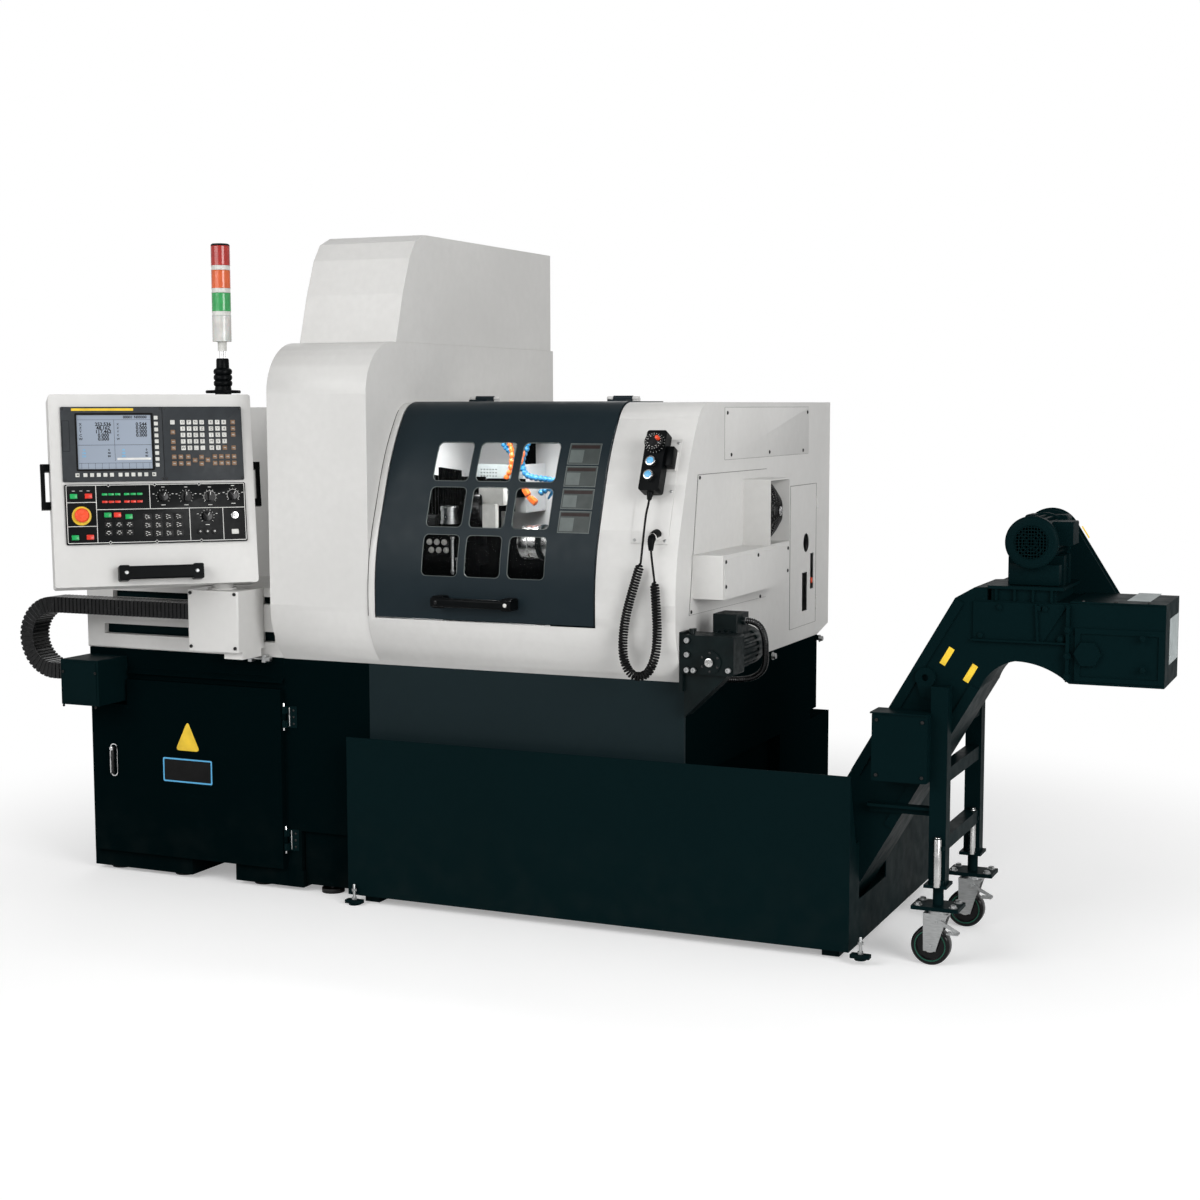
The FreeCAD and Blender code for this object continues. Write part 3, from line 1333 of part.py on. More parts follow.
def conveyor_body():
    knee_x, knee_z = chute_knee
    crest_x, crest_z = chute_crest
    foot_x = knee_x - (knee_z - chute_foot_z) / slope
    tail_knee_x = crest_x - (crest_z - tail_top) / slope
    points = {"tail_low": V(tail_x0, 0, chute_foot_z), "foot": V(foot_x, 0, chute_foot_z),
              "knee": V(knee_x, 0, knee_z), "arch": V(arch_top[0], 0, arch_top[1]),
              "end_low": V(box_x0, 0, box_bottom), "end_top": V(box_x0, 0, neck_top),
              "neck": V(neck_x0, 0, neck_top), "step": V(neck_x0, 0, neck_top + step_height),
              "step_low": V(neck_x0 - step_height, 0, neck_top + step_height - 2), "crest": V(crest_x, 0, crest_z),
              "tail_knee": V(tail_knee_x, 0, tail_top), "tail_top": V(tail_x0, 0, tail_top)}
    lines = [("tail_low", "foot"), ("foot", "knee"), ("end_low", "end_top"), ("end_top", "neck"),
             ("neck", "step"), ("step", "step_low"), ("step_low", "crest"), ("crest", "tail_knee"),
             ("tail_knee", "tail_top"), ("tail_top", "tail_low")]
    edges = [Part.makeLine(points[a], points[b]) for a, b in lines]
    edges.append(Part.Arc(points["knee"], V(knee_x + 38, 0, knee_z + 54), points["arch"]).toShape())
    edges.append(Part.Arc(points["arch"], V(arch_top[0] + 80, 0, arch_top[1] - 16), points["end_low"]).toShape())
    face = Part.Face(Part.Wire(Part.__sortEdges__(edges)))
    face.translate(V(0, chute_y0, 0))
    body = face.extrude(V(0, chute_y1 - chute_y0, 0))
    rim = 26.0
    ribs = []
    for y in (chute_y0 - rim_thickness, chute_y1):
        run = V(1, 0, slope).normalize()
        high = V(crest_x, y, crest_z)
        low = high.sub(V(run).multiply((crest_z - tank_wall_top) / run.z))
        inward = V(run.z, 0, -run.x).multiply(rim)
        ribs.append(prism([low, high, high.add(inward), low.add(inward)], V(0, rim_thickness, 0)))
        base = V(knee_x, y, knee_z)
        start = base.sub(V(run).multiply((knee_z - tank_height - tank_bottom - 40) / run.z))
        out = V(-run.z, 0, run.x).multiply(rim)
        ribs.append(prism([start, base, base.add(out), start.add(out)], V(0, rim_thickness, 0)))
    lug_y = chute_y0 - rim_thickness - lug_plate
    eye = rod(lug_x, lug_y, lug_z, Y, lug_radius, lug_plate + rim_thickness)
    foot = front_prism([(lug_x - lug_radius, lug_z), (lug_x + lug_radius * 0.7, lug_z - lug_radius * 0.7),
                        (lug_x + 24, lug_z - 28), (lug_x + 24, lug_z - 58), (lug_x - 10, lug_z - 48)],
                       lug_y, chute_y0)
    lug = join(eye, foot).cut(rod(lug_x, lug_y - 1, lug_z, Y, lug_bore, lug_plate + rim_thickness + 2))
    side = front_prism([(neck_x0 - 34, side_ledge_z), (neck_x0 + 144, side_ledge_z), (box_x0 - 6, neck_top - 4),
                        (neck_x0 - 34, neck_top - 4)], chute_y0 - rim_thickness, chute_y0)
    ledge = box(neck_x0 - 38, box_x0 - 8, chute_y0 - 12, chute_y0, side_ledge_z - 5, side_ledge_z)
    stiffener = front_prism([(neck_x0 + 128, side_ledge_z), (neck_x0 + 134, side_ledge_z), (neck_x0 + 128, neck_top - 4),
                             (neck_x0 + 122, neck_top - 4)], chute_y0 - 12, chute_y0)
    flange = box(box_x0 - 8, box_x0, chute_y0 - 14, chute_y0, box_bottom + 6, neck_top - 4)
    return join(body, lug, side, ledge, stiffener, flange, *ribs)


keep("conveyor_body", conveyor_body())

guard_radius = 69.0
guard_depth = 44.0
motor_head_x = neck_x0 + 109
motor_head_z = neck_top + 149
sprocket_x, sprocket_z = box_x0 + 57, box_bottom + 101
head_motor_radius = 62.0
head_motor_front = 62.0
bed_length, bed_height = 178.0, 38.0
bed_plate = 8.0
terminal_length, terminal_height = 52.0, 60.0


def discharge_box():
    body = box(box_x0, box_x1, chute_y0, chute_y1, box_bottom, box_top)
    body = body.cut(box(box_x0 + sheet, box_x1 - sheet, chute_y0 + sheet, chute_y1 - sheet,
                        box_bottom - 1, box_top - sheet))
    frame_y = chute_y0 - 4
    frame = box(box_x0 + 12, box_x1 - 2, frame_y, chute_y0, box_bottom + 8, box_top - 62)
    frame = frame.cut(box(box_x0 + 26, box_x1 - 16, frame_y - 1, chute_y0, box_bottom + 20, box_top - 76))
    hexagon = [(box_x0 + 45 + 34 * math.cos(a * math.pi / 3), box_bottom + 78 + 34 * math.sin(a * math.pi / 3))
               for a in range(6)]
    bearing = front_prism(hexagon, frame_y - 8, chute_y0)
    lid = box(box_x0 - 1, box_x1, chute_y0 - 3, chute_y1, box_top, box_top + 4)
    shaft = rod(sprocket_x, chute_y0, sprocket_z, Y, 14, chute_y1 - chute_y0)
    drum = rod(sprocket_x, chute_y0 + 30, sprocket_z, Y, 46, chute_y1 - chute_y0 - 60)
    return join(body, frame, bearing, lid, shaft, drum)


keep("discharge_box", discharge_box())


def conveyor_motor():
    x, z, y0 = motor_head_x, motor_head_z, head_motor_front
    bed_x0, bed_top = x - bed_length / 2 - 18, neck_top + bed_height
    bed_x1 = bed_x0 + bed_length
    bed = box(bed_x0 + 8, bed_x1 - 8, chute_y0 + 4, chute_y1 - 8, neck_top, bed_top)
    top = box(bed_x0, bed_x1 + 12, chute_y0 - 6, chute_y1, bed_top - bed_plate, bed_top)
    webs = [box(bed_x0 + share * bed_length - 3, bed_x0 + share * bed_length + 3, chute_y0 - 4, chute_y0 + 5,
                neck_top, bed_top - bed_plate + 1) for share in (0.12, 0.38, 0.64, 0.9)]
    feet = [box(x + side * 52 - 18, x + side * 52 + 18, y, y + 34, bed_top, z - head_motor_radius + 26)
            for side in (-1, 1) for y in (y0 + 52, y0 + 122)]
    cowl = rod(x, y0, z, Y, head_motor_radius, 40)
    cowl = cowl.makeFillet(8, [edge for edge in cowl.Edges if edge.BoundBox.YMax < y0 + 1])
    barrel = finned(x, y0 + 40, z, head_motor_radius, 120, 22, head_motor_radius - 7)
    flange = rod(x, y0 + 160, z, Y, head_motor_radius + 4, 14)
    reducer = rounded(box(x - 55, x + 55, y0 + 174, chute_y1, z - 60, z + 60), 10, Y)
    terminal = rounded(box(x + 40, x + 40 + terminal_length, y0 + 50, y0 + 130, z - 10, z - 10 + terminal_height), 4, Y)
    holes = []
    for radius, count in ((18, 6), (34, 10), (49, 14)):
        for index in range(count):
            angle = 2 * math.pi * index / count
            holes.append(box(x + radius * math.cos(angle) - 3, x + radius * math.cos(angle) + 3, y0 - 1, y0 + 3,
                             z + radius * math.sin(angle) - 3, z + radius * math.sin(angle) + 3))
    hub = cowl.cut(Part.makeCompound(holes))
    return join(bed, top, hub, barrel, flange, reducer, terminal, *webs, *feet)


keep("conveyor_motor", conveyor_motor())


def chain_guard():
    body = obround(sprocket_x, sprocket_z, motor_head_x, motor_head_z, guard_radius, chute_y1, chute_y1 + guard_depth)
    lip = obround(sprocket_x, sprocket_z, motor_head_x, motor_head_z, guard_radius + 5,
                  chute_y1 + guard_depth / 2, chute_y1 + guard_depth / 2 + 6)
    return join(body, lip)


keep("chain_guard", chain_guard())

# ---------------------------------------------------------------- conveyor stand and casters

post_size = 44.0
post_left = 1704.0
stand_face = chute_y0 - rim_thickness
stand_back = chute_y1 + rim_thickness
front_post_y = stand_face - post_size
rear_post_y = 400.0
post_low, post_high = 217.0, 729.0
rear_post_high = 662.0
stand_beam = 36.0
beam_levels = (300.0, 478.0)
strut_length, strut_z = 168.0, 386.0
strut_width, strut_height = 32.0, 25.0
stand_box_length, stand_box_height = 146.0, 175.0
stand_box_x1 = post_left + 1
stand_box_z0 = 482.0
stand_box_depth = 80.0
drip_edge = 4.0
lift_rod_radius = 10.0
lift_rod_length = 128.0
caster_plate_z0, caster_plate_z1 = 150.0, 160.0
caster_x = post_left + post_size / 2
front_caster_y = front_post_y + post_size / 2
rear_caster_y = rear_post_y + post_size / 2
wheel_radius, wheel_width = 51.0, 34.0
caster_trail = 16.0
fork_plate = 4.0
fork_gap = 3.0
axle_radius = 6.0
brake_pin_x, brake_pin_z, brake_pin = 4.0, 118.0, 2.5
pedal_plate = 5.0


def conveyor_stand():
    post_right = post_left + post_size
    front = box(post_left, post_right, front_post_y, stand_face, post_low, post_high)
    rear = box(post_left, post_right, rear_post_y, rear_post_y + post_size, post_low, rear_post_high)
    beams = [box(post_left + 4, post_right - 4, stand_face - 1, rear_post_y + 1, z, z + stand_beam)
             for z in beam_levels]
    bracket = box(post_left + 4, post_right - 4, stand_back, rear_post_y + 1, rear_post_high - 62, rear_post_high - 22)
    strut_x, strut_top = post_left - strut_length, strut_z + strut_height
    strut = box(strut_x, post_left + 1, stand_face - 8, stand_face, strut_z, strut_top)
    shelf = box(strut_x, post_left + 1, stand_face - strut_width, stand_face - 8, strut_top - 7, strut_top)
    box_x, box_high = stand_box_x1 - stand_box_length, stand_box_z0 + stand_box_height
    cabinet = rounded(box(box_x, stand_box_x1, stand_face - stand_box_depth, stand_face, stand_box_z0, box_high), 3, Y)
    drip = box(box_x - drip_edge, stand_box_x1, stand_face - stand_box_depth - drip_edge, stand_face,
               box_high, box_high + drip_edge)
    feet = []
    for y, rod_y in ((front_caster_y, front_post_y - 12), (rear_caster_y, rear_post_y - 12)):
        feet.append(box(post_left - 8, post_right + 8, y - 40, y + 30, post_low - 8, post_low))
        feet.append(rod(caster_x, y, caster_plate_z1 - 1, Z, 14, post_low - 8 - caster_plate_z1 + 2))
        feet.append(box(caster_x - 62, caster_x + 62, y - 42, y + 42, caster_plate_z0, caster_plate_z1))
        feet.append(rod(caster_x + 4, rod_y, post_low - 4, Z, lift_rod_radius, lift_rod_length))
        for z in (post_low, post_low + 90):
            feet.append(box(caster_x - 12, caster_x + 20, rod_y, y - post_size / 2 + 1, z, z + 12))
    return join(front, rear, bracket, strut, shelf, cabinet, drip, *beams, *feet)


keep("conveyor_stand", conveyor_stand())


def caster_fork(y):
    top = caster_plate_z0 - running_gap
    disc = rod(caster_x, y, top - 12, Z, 30, 12)
    crown = box(caster_x - 34, caster_x + 30, y - wheel_width / 2 - fork_gap - fork_plate,
                y + wheel_width / 2 + fork_gap + fork_plate, top - 16, top - 11)
    axle_x = caster_x - caster_trail
    cheeks = []
    for side in (-1, 1):
        y0 = y + side * (wheel_width / 2 + fork_gap)
        y1 = y0 + side * fork_plate
        outline = [(caster_x - 34, top - 12), (caster_x + 30, top - 12), (axle_x + 16, wheel_radius - 12),
                   (axle_x - 16, wheel_radius - 12)]
        cheeks.append(front_prism(outline, min(y0, y1), max(y0, y1)))
    axle = rod(axle_x, y - wheel_width / 2 - fork_gap - fork_plate - 4, wheel_radius, Y, axle_radius,
               wheel_width + 2 * (fork_gap + fork_plate + 4))
    cheek_y = y - wheel_width / 2 - fork_gap - fork_plate
    pin = rod(caster_x + brake_pin_x, cheek_y - pedal_plate - 3, brake_pin_z, Y, brake_pin, pedal_plate + 4)
    return join(disc, crown, axle, pin, *cheeks)


def caster_wheel(y):
    axle_x = caster_x - caster_trail
    y0 = y - wheel_width / 2
    tread = rod(axle_x, y0, wheel_radius, Y, wheel_radius, wheel_width)
    tread = tread.makeChamfer(4, [edge for edge in tread.Edges if hasattr(edge.Curve, "Radius")])
    for side_y in (y0 - 1, y0 + wheel_width - 6):
        tread = tread.cut(ring(axle_x, side_y, wheel_radius, Y, 36, 17, 7))
    return tread.cut(rod(axle_x, y0 - 1, wheel_radius, Y, axle_radius + running_gap, wheel_width + 2))


def caster_brake(y):
    cheek_y = y - wheel_width / 2 - fork_gap - fork_plate
    x = caster_x + brake_pin_x
    pedal = front_prism([(x - 6, brake_pin_z - 6), (x + 10, brake_pin_z - 6), (x + 58, brake_pin_z - 26),
                         (x + 60, brake_pin_z - 20), (x + 10, brake_pin_z + 6), (x - 6, brake_pin_z + 6)],
                        cheek_y - running_gap - pedal_plate, cheek_y - running_gap)
    tread = box(x + 30, x + 60, cheek_y - running_gap - 26, cheek_y - running_gap - 1, brake_pin_z - 24, brake_pin_z - 20)
    bore = rod(x, cheek_y - 20, brake_pin_z, Y, brake_pin + running_gap, 30)
    return join(pedal, tread).cut(bore)


for place, y in (("front", front_caster_y), ("rear", rear_caster_y)):
    keep("caster_fork_" + place, caster_fork(y))
    keep("caster_wheel_" + place, caster_wheel(y))
    keep("caster_brake_" + place, caster_brake(y))

# ---------------------------------------------------------------- origin and files

bounds = FreeCAD.BoundBox()
for name, shape in nodes.items():
    if name not in cord_names:
        bounds.add(shape.optimalBoundingBox(False, False))
middle = V(-bounds.Center.x, -bounds.Center.y, 0)
print("moved by", round(middle.x, 3), round(middle.y, 3))
print("size", round(bounds.XLength, 1), round(bounds.YLength, 1), round(bounds.ZMin, 2), round(bounds.ZMax, 1))
for name, shape in nodes.items():
    if not shape.isValid():
        print("not valid:", name)
    moved = shape.copy()
    moved.translate(middle)
    moved.exportStep("parts/%s.step" % name)
print(len(nodes), "nodes")
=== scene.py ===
import math

import bmesh
import bpy
from mathutils import Matrix, Vector
from mathutils.bvhtree import BVHTree


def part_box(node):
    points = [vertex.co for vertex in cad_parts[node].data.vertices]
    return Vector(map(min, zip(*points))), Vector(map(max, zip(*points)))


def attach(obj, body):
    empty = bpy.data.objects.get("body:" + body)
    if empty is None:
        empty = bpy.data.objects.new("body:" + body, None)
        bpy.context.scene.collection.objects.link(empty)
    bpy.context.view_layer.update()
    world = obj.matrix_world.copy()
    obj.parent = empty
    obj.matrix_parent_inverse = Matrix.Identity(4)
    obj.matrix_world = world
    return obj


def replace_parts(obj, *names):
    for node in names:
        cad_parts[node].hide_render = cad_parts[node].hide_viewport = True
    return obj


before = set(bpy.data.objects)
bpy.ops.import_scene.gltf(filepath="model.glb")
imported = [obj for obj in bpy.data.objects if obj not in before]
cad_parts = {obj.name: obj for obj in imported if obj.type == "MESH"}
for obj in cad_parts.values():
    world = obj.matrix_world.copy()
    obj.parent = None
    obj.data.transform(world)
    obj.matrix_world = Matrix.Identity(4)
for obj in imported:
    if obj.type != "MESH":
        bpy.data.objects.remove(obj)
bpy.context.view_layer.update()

bl_info = {
    "name": "Turning lathe",
    "version": (1, 0, 0),
    "blender": (4, 5, 0),
    "location": "View3D > Sidebar > Lathe",
    "description": "Finishes and details of a sliding-head turning lathe with its panel and chip conveyor",
    "category": "Object",
}

# ---------------------------------------------------------------- places and directions
# Sizes are millimetres: X from the tank's left end, Y back from the cabinet's front, Z up from
# the floor. To the frame they go through place() or a seat, which give metres.

MM = 0.001
TANK_FRONT = -51.0
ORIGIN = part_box("coolant_tank")[0] - Vector((0, TANK_FRONT, 0)) * MM
SCALE = Matrix.Translation(ORIGIN) @ Matrix.Scale(MM, 4)
IN_METRES = Matrix.Identity(4)
ACROSS = Vector((1, 0, 0))
FACING_UP = Matrix.Identity(4)
FACING_FRONT = Matrix.Rotation(math.radians(90), 4, "X")
FACING_RIGHT = Matrix(((0, 0, 1, 0), (1, 0, 0, 0), (0, 1, 0, 0), (0, 0, 0, 1)))
FACING_BACK = Matrix.Rotation(math.radians(180), 4, "Z") @ FACING_FRONT

COVER_RIGHT = 1032.0
BASE_TOP = 701.0
ROOF = 1453.0
DOOR_LEFT, DOOR_BOTTOM = 120.0, 850.0
HEAD_LEFT, HEAD_RIGHT = -238.0, 93.0

PANEL_CORNER = (-695.3, -459.1, 933.4)
PANEL_TURN, PANEL_LEAN = 43.34, -9.99
PANEL_PLACE = (Matrix.Translation(PANEL_CORNER) @ Matrix.Rotation(math.radians(PANEL_TURN), 4, "Z")
               @ Matrix.Rotation(math.radians(PANEL_LEAN), 4, "X"))
UNIT_LEVEL, DESK_LEVEL = 8.2, 6.2
BEFORE_PANEL, BEFORE_MACHINE = 150, -600


def place(x, y, z):
    """Point of the frame, in metres, for a place on the machine in millimetres."""
    return SCALE @ Vector((x, y, z))


def seat(x, y, z, facing=FACING_FRONT):
    """Matrix that sets a shape drawn on the XY plane, Z outwards, on the machine."""
    return SCALE @ Matrix.Translation((x, y, z)) @ facing


def facing_along(across, up, out):
    """Turn that lays a shape's X, Y and Z along three directions."""
    return Matrix((across, up, out)).transposed().to_4x4()


def on_panel(a, b, out=0.0):
    """Seat on the control panel's front: a across, b up, from its lower left corner."""
    return SCALE @ PANEL_PLACE @ Matrix.Translation((a, -out, b)) @ FACING_FRONT


def on_face(a, b, out=0.0):
    """Seat on the face of the operating unit, the panel's upper half."""
    return on_panel(a, b, UNIT_LEVEL + out)


def on_desk(a, b, out=0.0):
    """Seat on the face of the operator's desk, the panel's lower half."""
    return on_panel(a, b, DESK_LEVEL + out)


def on_panel_skin(tree, a, b):
    """Seat on what stands out from the control panel's front."""
    start = on_panel(a, b, BEFORE_PANEL)
    hit, _, _, distance = tree.ray_cast(start.translation, -start.to_3x3().col[2].normalized())
    if hit is None:
        raise RuntimeError("nothing on the panel at %g, %g" % (a, b))
    return on_panel(a, b, BEFORE_PANEL - distance / MM)


def tree_of(node):
    """Ray-casting tree of a CAD node's surface."""
    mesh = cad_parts[node].data
    return BVHTree.FromPolygons([v.co for v in mesh.vertices], [tuple(p.vertices) for p in mesh.polygons])


def on_skin(tree, x, z):
    """Seat on a curved front at a width and a height, its Z along the skin's outward normal."""
    hit, normal, _, _ = tree.ray_cast(place(x, BEFORE_MACHINE, z), Vector((0, 1, 0)))
    if hit is None:
        raise RuntimeError("no skin at %g, %g" % (x, z))
    if normal.y > 0:
        normal = -normal
    up = normal.cross(ACROSS).normalized()
    return Matrix.Translation(hit) @ facing_along(ACROSS, up, normal) @ Matrix.Scale(MM, 4)


# ---------------------------------------------------------------- shapes, as lists of points and faces


def taken(bm):
    """Points and faces of a bmesh, which is then freed."""
    bm.verts.index_update()
    result = [v.co.copy() for v in bm.verts], [[v.index for v in f.verts] for f in bm.faces]
    bm.free()
    return result


def slab(x0, x1, y0, y1, z0, z1, edge=0.5):
    """Block with rounded edges."""
    bm = bmesh.new()
    bmesh.ops.create_cube(bm, size=1)
    for v in bm.verts:
        v.co = Vector(((x0 + x1) / 2 + v.co.x * (x1 - x0), (y0 + y1) / 2 + v.co.y * (y1 - y0),
                       (z0 + z1) / 2 + v.co.z * (z1 - z0)))
    if edge > 0:
        bmesh.ops.bevel(bm, geom=bm.edges[:], offset=edge, segments=2, affect="EDGES", profile=0.5)
    return taken(bm)


def dash(x, y, width, height=1.6, thick=0.15):
    """Flat mark with its middle at x, y."""
    return slab(x - width / 2, x + width / 2, y - height / 2, y + height / 2, 0, thick, 0)


def spoke(radius, angle):
    """Point at a radius and an angle in radians."""
    return radius * math.cos(angle), radius * math.sin(angle)


def tube_faces(rows, sides):
    """Faces of a closed tube of rings that follow each other."""
    faces = []
    for row in range(rows - 1):
        for side in range(sides):
            a, b = row * sides + side, row * sides + (side + 1) % sides
            faces.append([a, b, b + sides, a + sides])
    return faces + [list(reversed(range(sides))), list(range((rows - 1) * sides, rows * sides))]


def turned(profile, sides=32):
    """Solid turned about Z from (radius, height) corners, bottom first."""
    points = [Vector((*spoke(radius, 2 * math.pi * side / sides), height))
              for radius, height in profile for side in range(sides)]
    return points, tube_faces(len(profile), sides)


def swept(line, radii, sides=12):
    """Tube along points, of one radius or of one for each point."""
    if isinstance(radii, float):
        radii = [radii] * len(line)
    points, side = [], None
    line = [Vector(p) for p in line]
    for index, here in enumerate(line):
        before, after = line[max(0, index - 1)], line[min(len(line) - 1, index + 1)]
        along = (after - before).normalized()
        if side is None:
            side = along.orthogonal().normalized()
        side = (side - along * side.dot(along)).normalized()
        other = along.cross(side)
        for step in range(sides):
            angle = 2 * math.pi * step / sides
            points.append(here + (side * math.cos(angle) + other * math.sin(angle)) * radii[index])
    return points, tube_faces(len(line), sides)


def plate(outline, z0, z1, edge=0.0):
    """Flat shape of an anticlockwise outline between two heights, its top edge rounded."""
    bm = bmesh.new()
    low = [bm.verts.new((x, y, z0)) for x, y in outline]
    high = [bm.verts.new((x, y, z1)) for x, y in outline]
    bm.faces.new(list(reversed(low)))
    top = bm.faces.new(high)
    count = len(outline)
    for i in range(count):
        bm.faces.new((low[i], low[(i + 1) % count], high[(i + 1) % count], high[i]))
    if edge > 0:
        bmesh.ops.bevel(bm, geom=list(top.edges), offset=edge, segments=2, affect="EDGES", profile=0.5)
    return taken(bm)


def soft_box(x0, x1, y0, y1, radius, steps=5):
    """Anticlockwise outline of a rectangle with round corners."""
    points = []
    for cx, cy, start in ((x1 - radius, y0 + radius, -90), (x1 - radius, y1 - radius, 0),
                          (x0 + radius, y1 - radius, 90), (x0 + radius, y0 + radius, 180)):
        for step in range(steps + 1):
            x, y = spoke(radius, math.radians(start + 90 * step / steps))
            points.append((cx + x, cy + y))
    return points


def sheet(x0, x1, y0, y1, radius, *heights):
    """Flat rectangle with round corners: its heights and, where asked, the top edge's rounding."""
    return plate(soft_box(x0, x1, y0, y1, radius), *heights)


def band(outer, inner, z0, z1):
    """Flat ring between two outlines of as many points."""
    count = len(outer)
    points = [Vector((x, y, z)) for z in (z0, z1) for line in (outer, inner) for x, y in line]
    faces = []
    for i in range(count):
        j = (i + 1) % count
        faces += [[2 * count + i, 2 * count + j, 3 * count + j, 3 * count + i],
                  [i, count + i, count + j, j],
                  [i, j, 2 * count + j, 2 * count + i],
                  [count + j, count + i, 3 * count + i, 3 * count + j]]
    return points, faces


def grown(box, by):
    """Rectangle (x0, x1, y0, y1) made larger all round, or smaller."""
    return box[0] - by, box[1] + by, box[2] - by, box[3] + by


def rim(box, width, radius, inner_radius, z0, z1):
    """Flat ring of a width inside a rectangle (x0, x1, y0, y1) with round corners."""
    return band(soft_box(*box, radius), soft_box(*grown(box, -width), inner_radius), z0, z1)


def washer(outer, inner, z0, z1, steps=16):
    """Flat round ring."""
    outlines = [soft_box(-radius, radius, -radius, radius, radius, steps) for radius in (outer, inner)]
    return band(*outlines, z0, z1)


def lettered(text, size, depth=0.15, weight=0.0):
    """Raised figures or letters, their middle at the origin."""
    curve = bpy.data.curves.new("figures", "FONT")
    curve.body = text
    curve.offset = weight
    curve.size = size
    curve.extrude = depth
    curve.resolution_u = 2
    curve.align_x, curve.align_y = "CENTER", "CENTER"
    holder = bpy.data.objects.new("figures", curve)
    mesh = bpy.data.meshes.new_from_object(holder)
    result = [v.co.copy() for v in mesh.vertices], [list(p.vertices) for p in mesh.polygons]
    bpy.data.objects.remove(holder)
    bpy.data.meshes.remove(mesh)
    bpy.data.curves.remove(curve)
    return result


def scaled(profile, radius, height):
    """Profile given in parts of a radius and a height."""
    return [(radius * r, height * h) for r, h in profile]


def socket_screw(radius, height):
    """Cap screw with a socket in its head, standing on the XY plane."""
    profile = scaled([(1, 0), (1, 0.85), (0.9, 1), (0.5, 1), (0.5, 0.4)], radius, height)
    return turned(profile + [(0.01, height * 0.35)], 18)


def dome_screw(radius, height):
    """Round-headed screw with a small recess."""
    profile = scaled([(1, 0), (1, 0.2), (0.85, 0.65), (0.5, 0.93), (0.3, 1), (0.25, 0.5)], radius, height)
    return turned(profile + [(0.01, height * 0.45)], 18)


def hex_bolt(radius, height):
    """Hexagon head on a washer."""
    disc = turned(scaled([(1.35, 0), (1.35, 0.2)], radius, height), 20)
    head = turned(scaled([(1, 0.2), (1, 0.9), (0.85, 1)], radius, height), 6)
    both = Piece().add(disc, IN_METRES).add(head, IN_METRES)
    return both.points, both.faces


class Piece:
    """One piece of the scene, gathered from shapes."""

    def __init__(self):
        self.points, self.faces = [], []

    def add(self, shape, *matrices):
        """Set a shape at one or more places."""
        points, faces = shape
        for matrix in matrices:
            offset = len(self.points)
            self.points += [matrix @ p for p in points]
            self.faces += [[i + offset for i in face] for face in faces]
        return self

    def made(self, words, smooth=40):
        """Object of the scene; the words are its name, finish, body and slot, of which the slot is not used.
        """
        name, finish, body, slot = words.split()
        mesh = bpy.data.meshes.new(name)
        mesh.from_pydata(self.points, [], self.faces)
        bm = bmesh.new()
        bm.from_mesh(mesh)
        bmesh.ops.recalc_face_normals(bm, faces=bm.faces[:])
        bm.to_mesh(mesh)
        bm.free()
        mesh.polygons.foreach_set("use_smooth", [True] * len(mesh.polygons))
        mesh.set_sharp_from_angle(angle=math.radians(smooth))
        mesh.materials.append(FINISHES[finish])
        piece = bpy.data.objects.new(name, mesh)
        bpy.context.scene.collection.objects.link(piece)
        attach(piece, body)
        return piece


def build(words, *parts, smooth=40):
    """Piece of (shape, place, ...) parts; the words are its name, finish, body and slot, of which the slot is
    not used.
    """
    piece = Piece()
    for part in parts:
        piece.add(*part)
    return piece.made(words, smooth)


# ---------------------------------------------------------------- finishes

FINISHES = {}


class Nodes:
    """Node tree being put together."""

    def __init__(self, tree):
        self.tree = tree

    def put(self, socket, value):
        """Link a node's output to a socket, or set the socket to a value."""
        if isinstance(value, bpy.types.NodeSocket):
            self.tree.links.new(value, socket)
        else:
            socket.default_value = value

    def node(self, kind, inputs=None, **settings):
        """Shader node with its settings, and its inputs by name or number."""
        made = self.tree.nodes.new("ShaderNode" + kind)
        for key, value in settings.items():
            setattr(made, key, value)
        for key, value in (inputs or {}).items():
            self.put(made.inputs[key], value)
        return made

    def spread(self, factor, low, high, start=0.3, stop=0.7, **settings):
        """The factor's span from start to stop, drawn over low to high."""
        return self.node("MapRange", {"Value": factor, "From Min": start, "From Max": stop, "To Min": low,
                                      "To Max": high}, **settings).outputs["Result"]

    def seen(self):
        """1 for what the camera sees, also through a pane, and 0 for the light that falls on things."""
        rays = self.node("LightPath").outputs
        return self.node("Math", {0: rays["Is Camera Ray"], 1: rays["Is Transmission Ray"]},
                         operation="MAXIMUM").outputs[0]


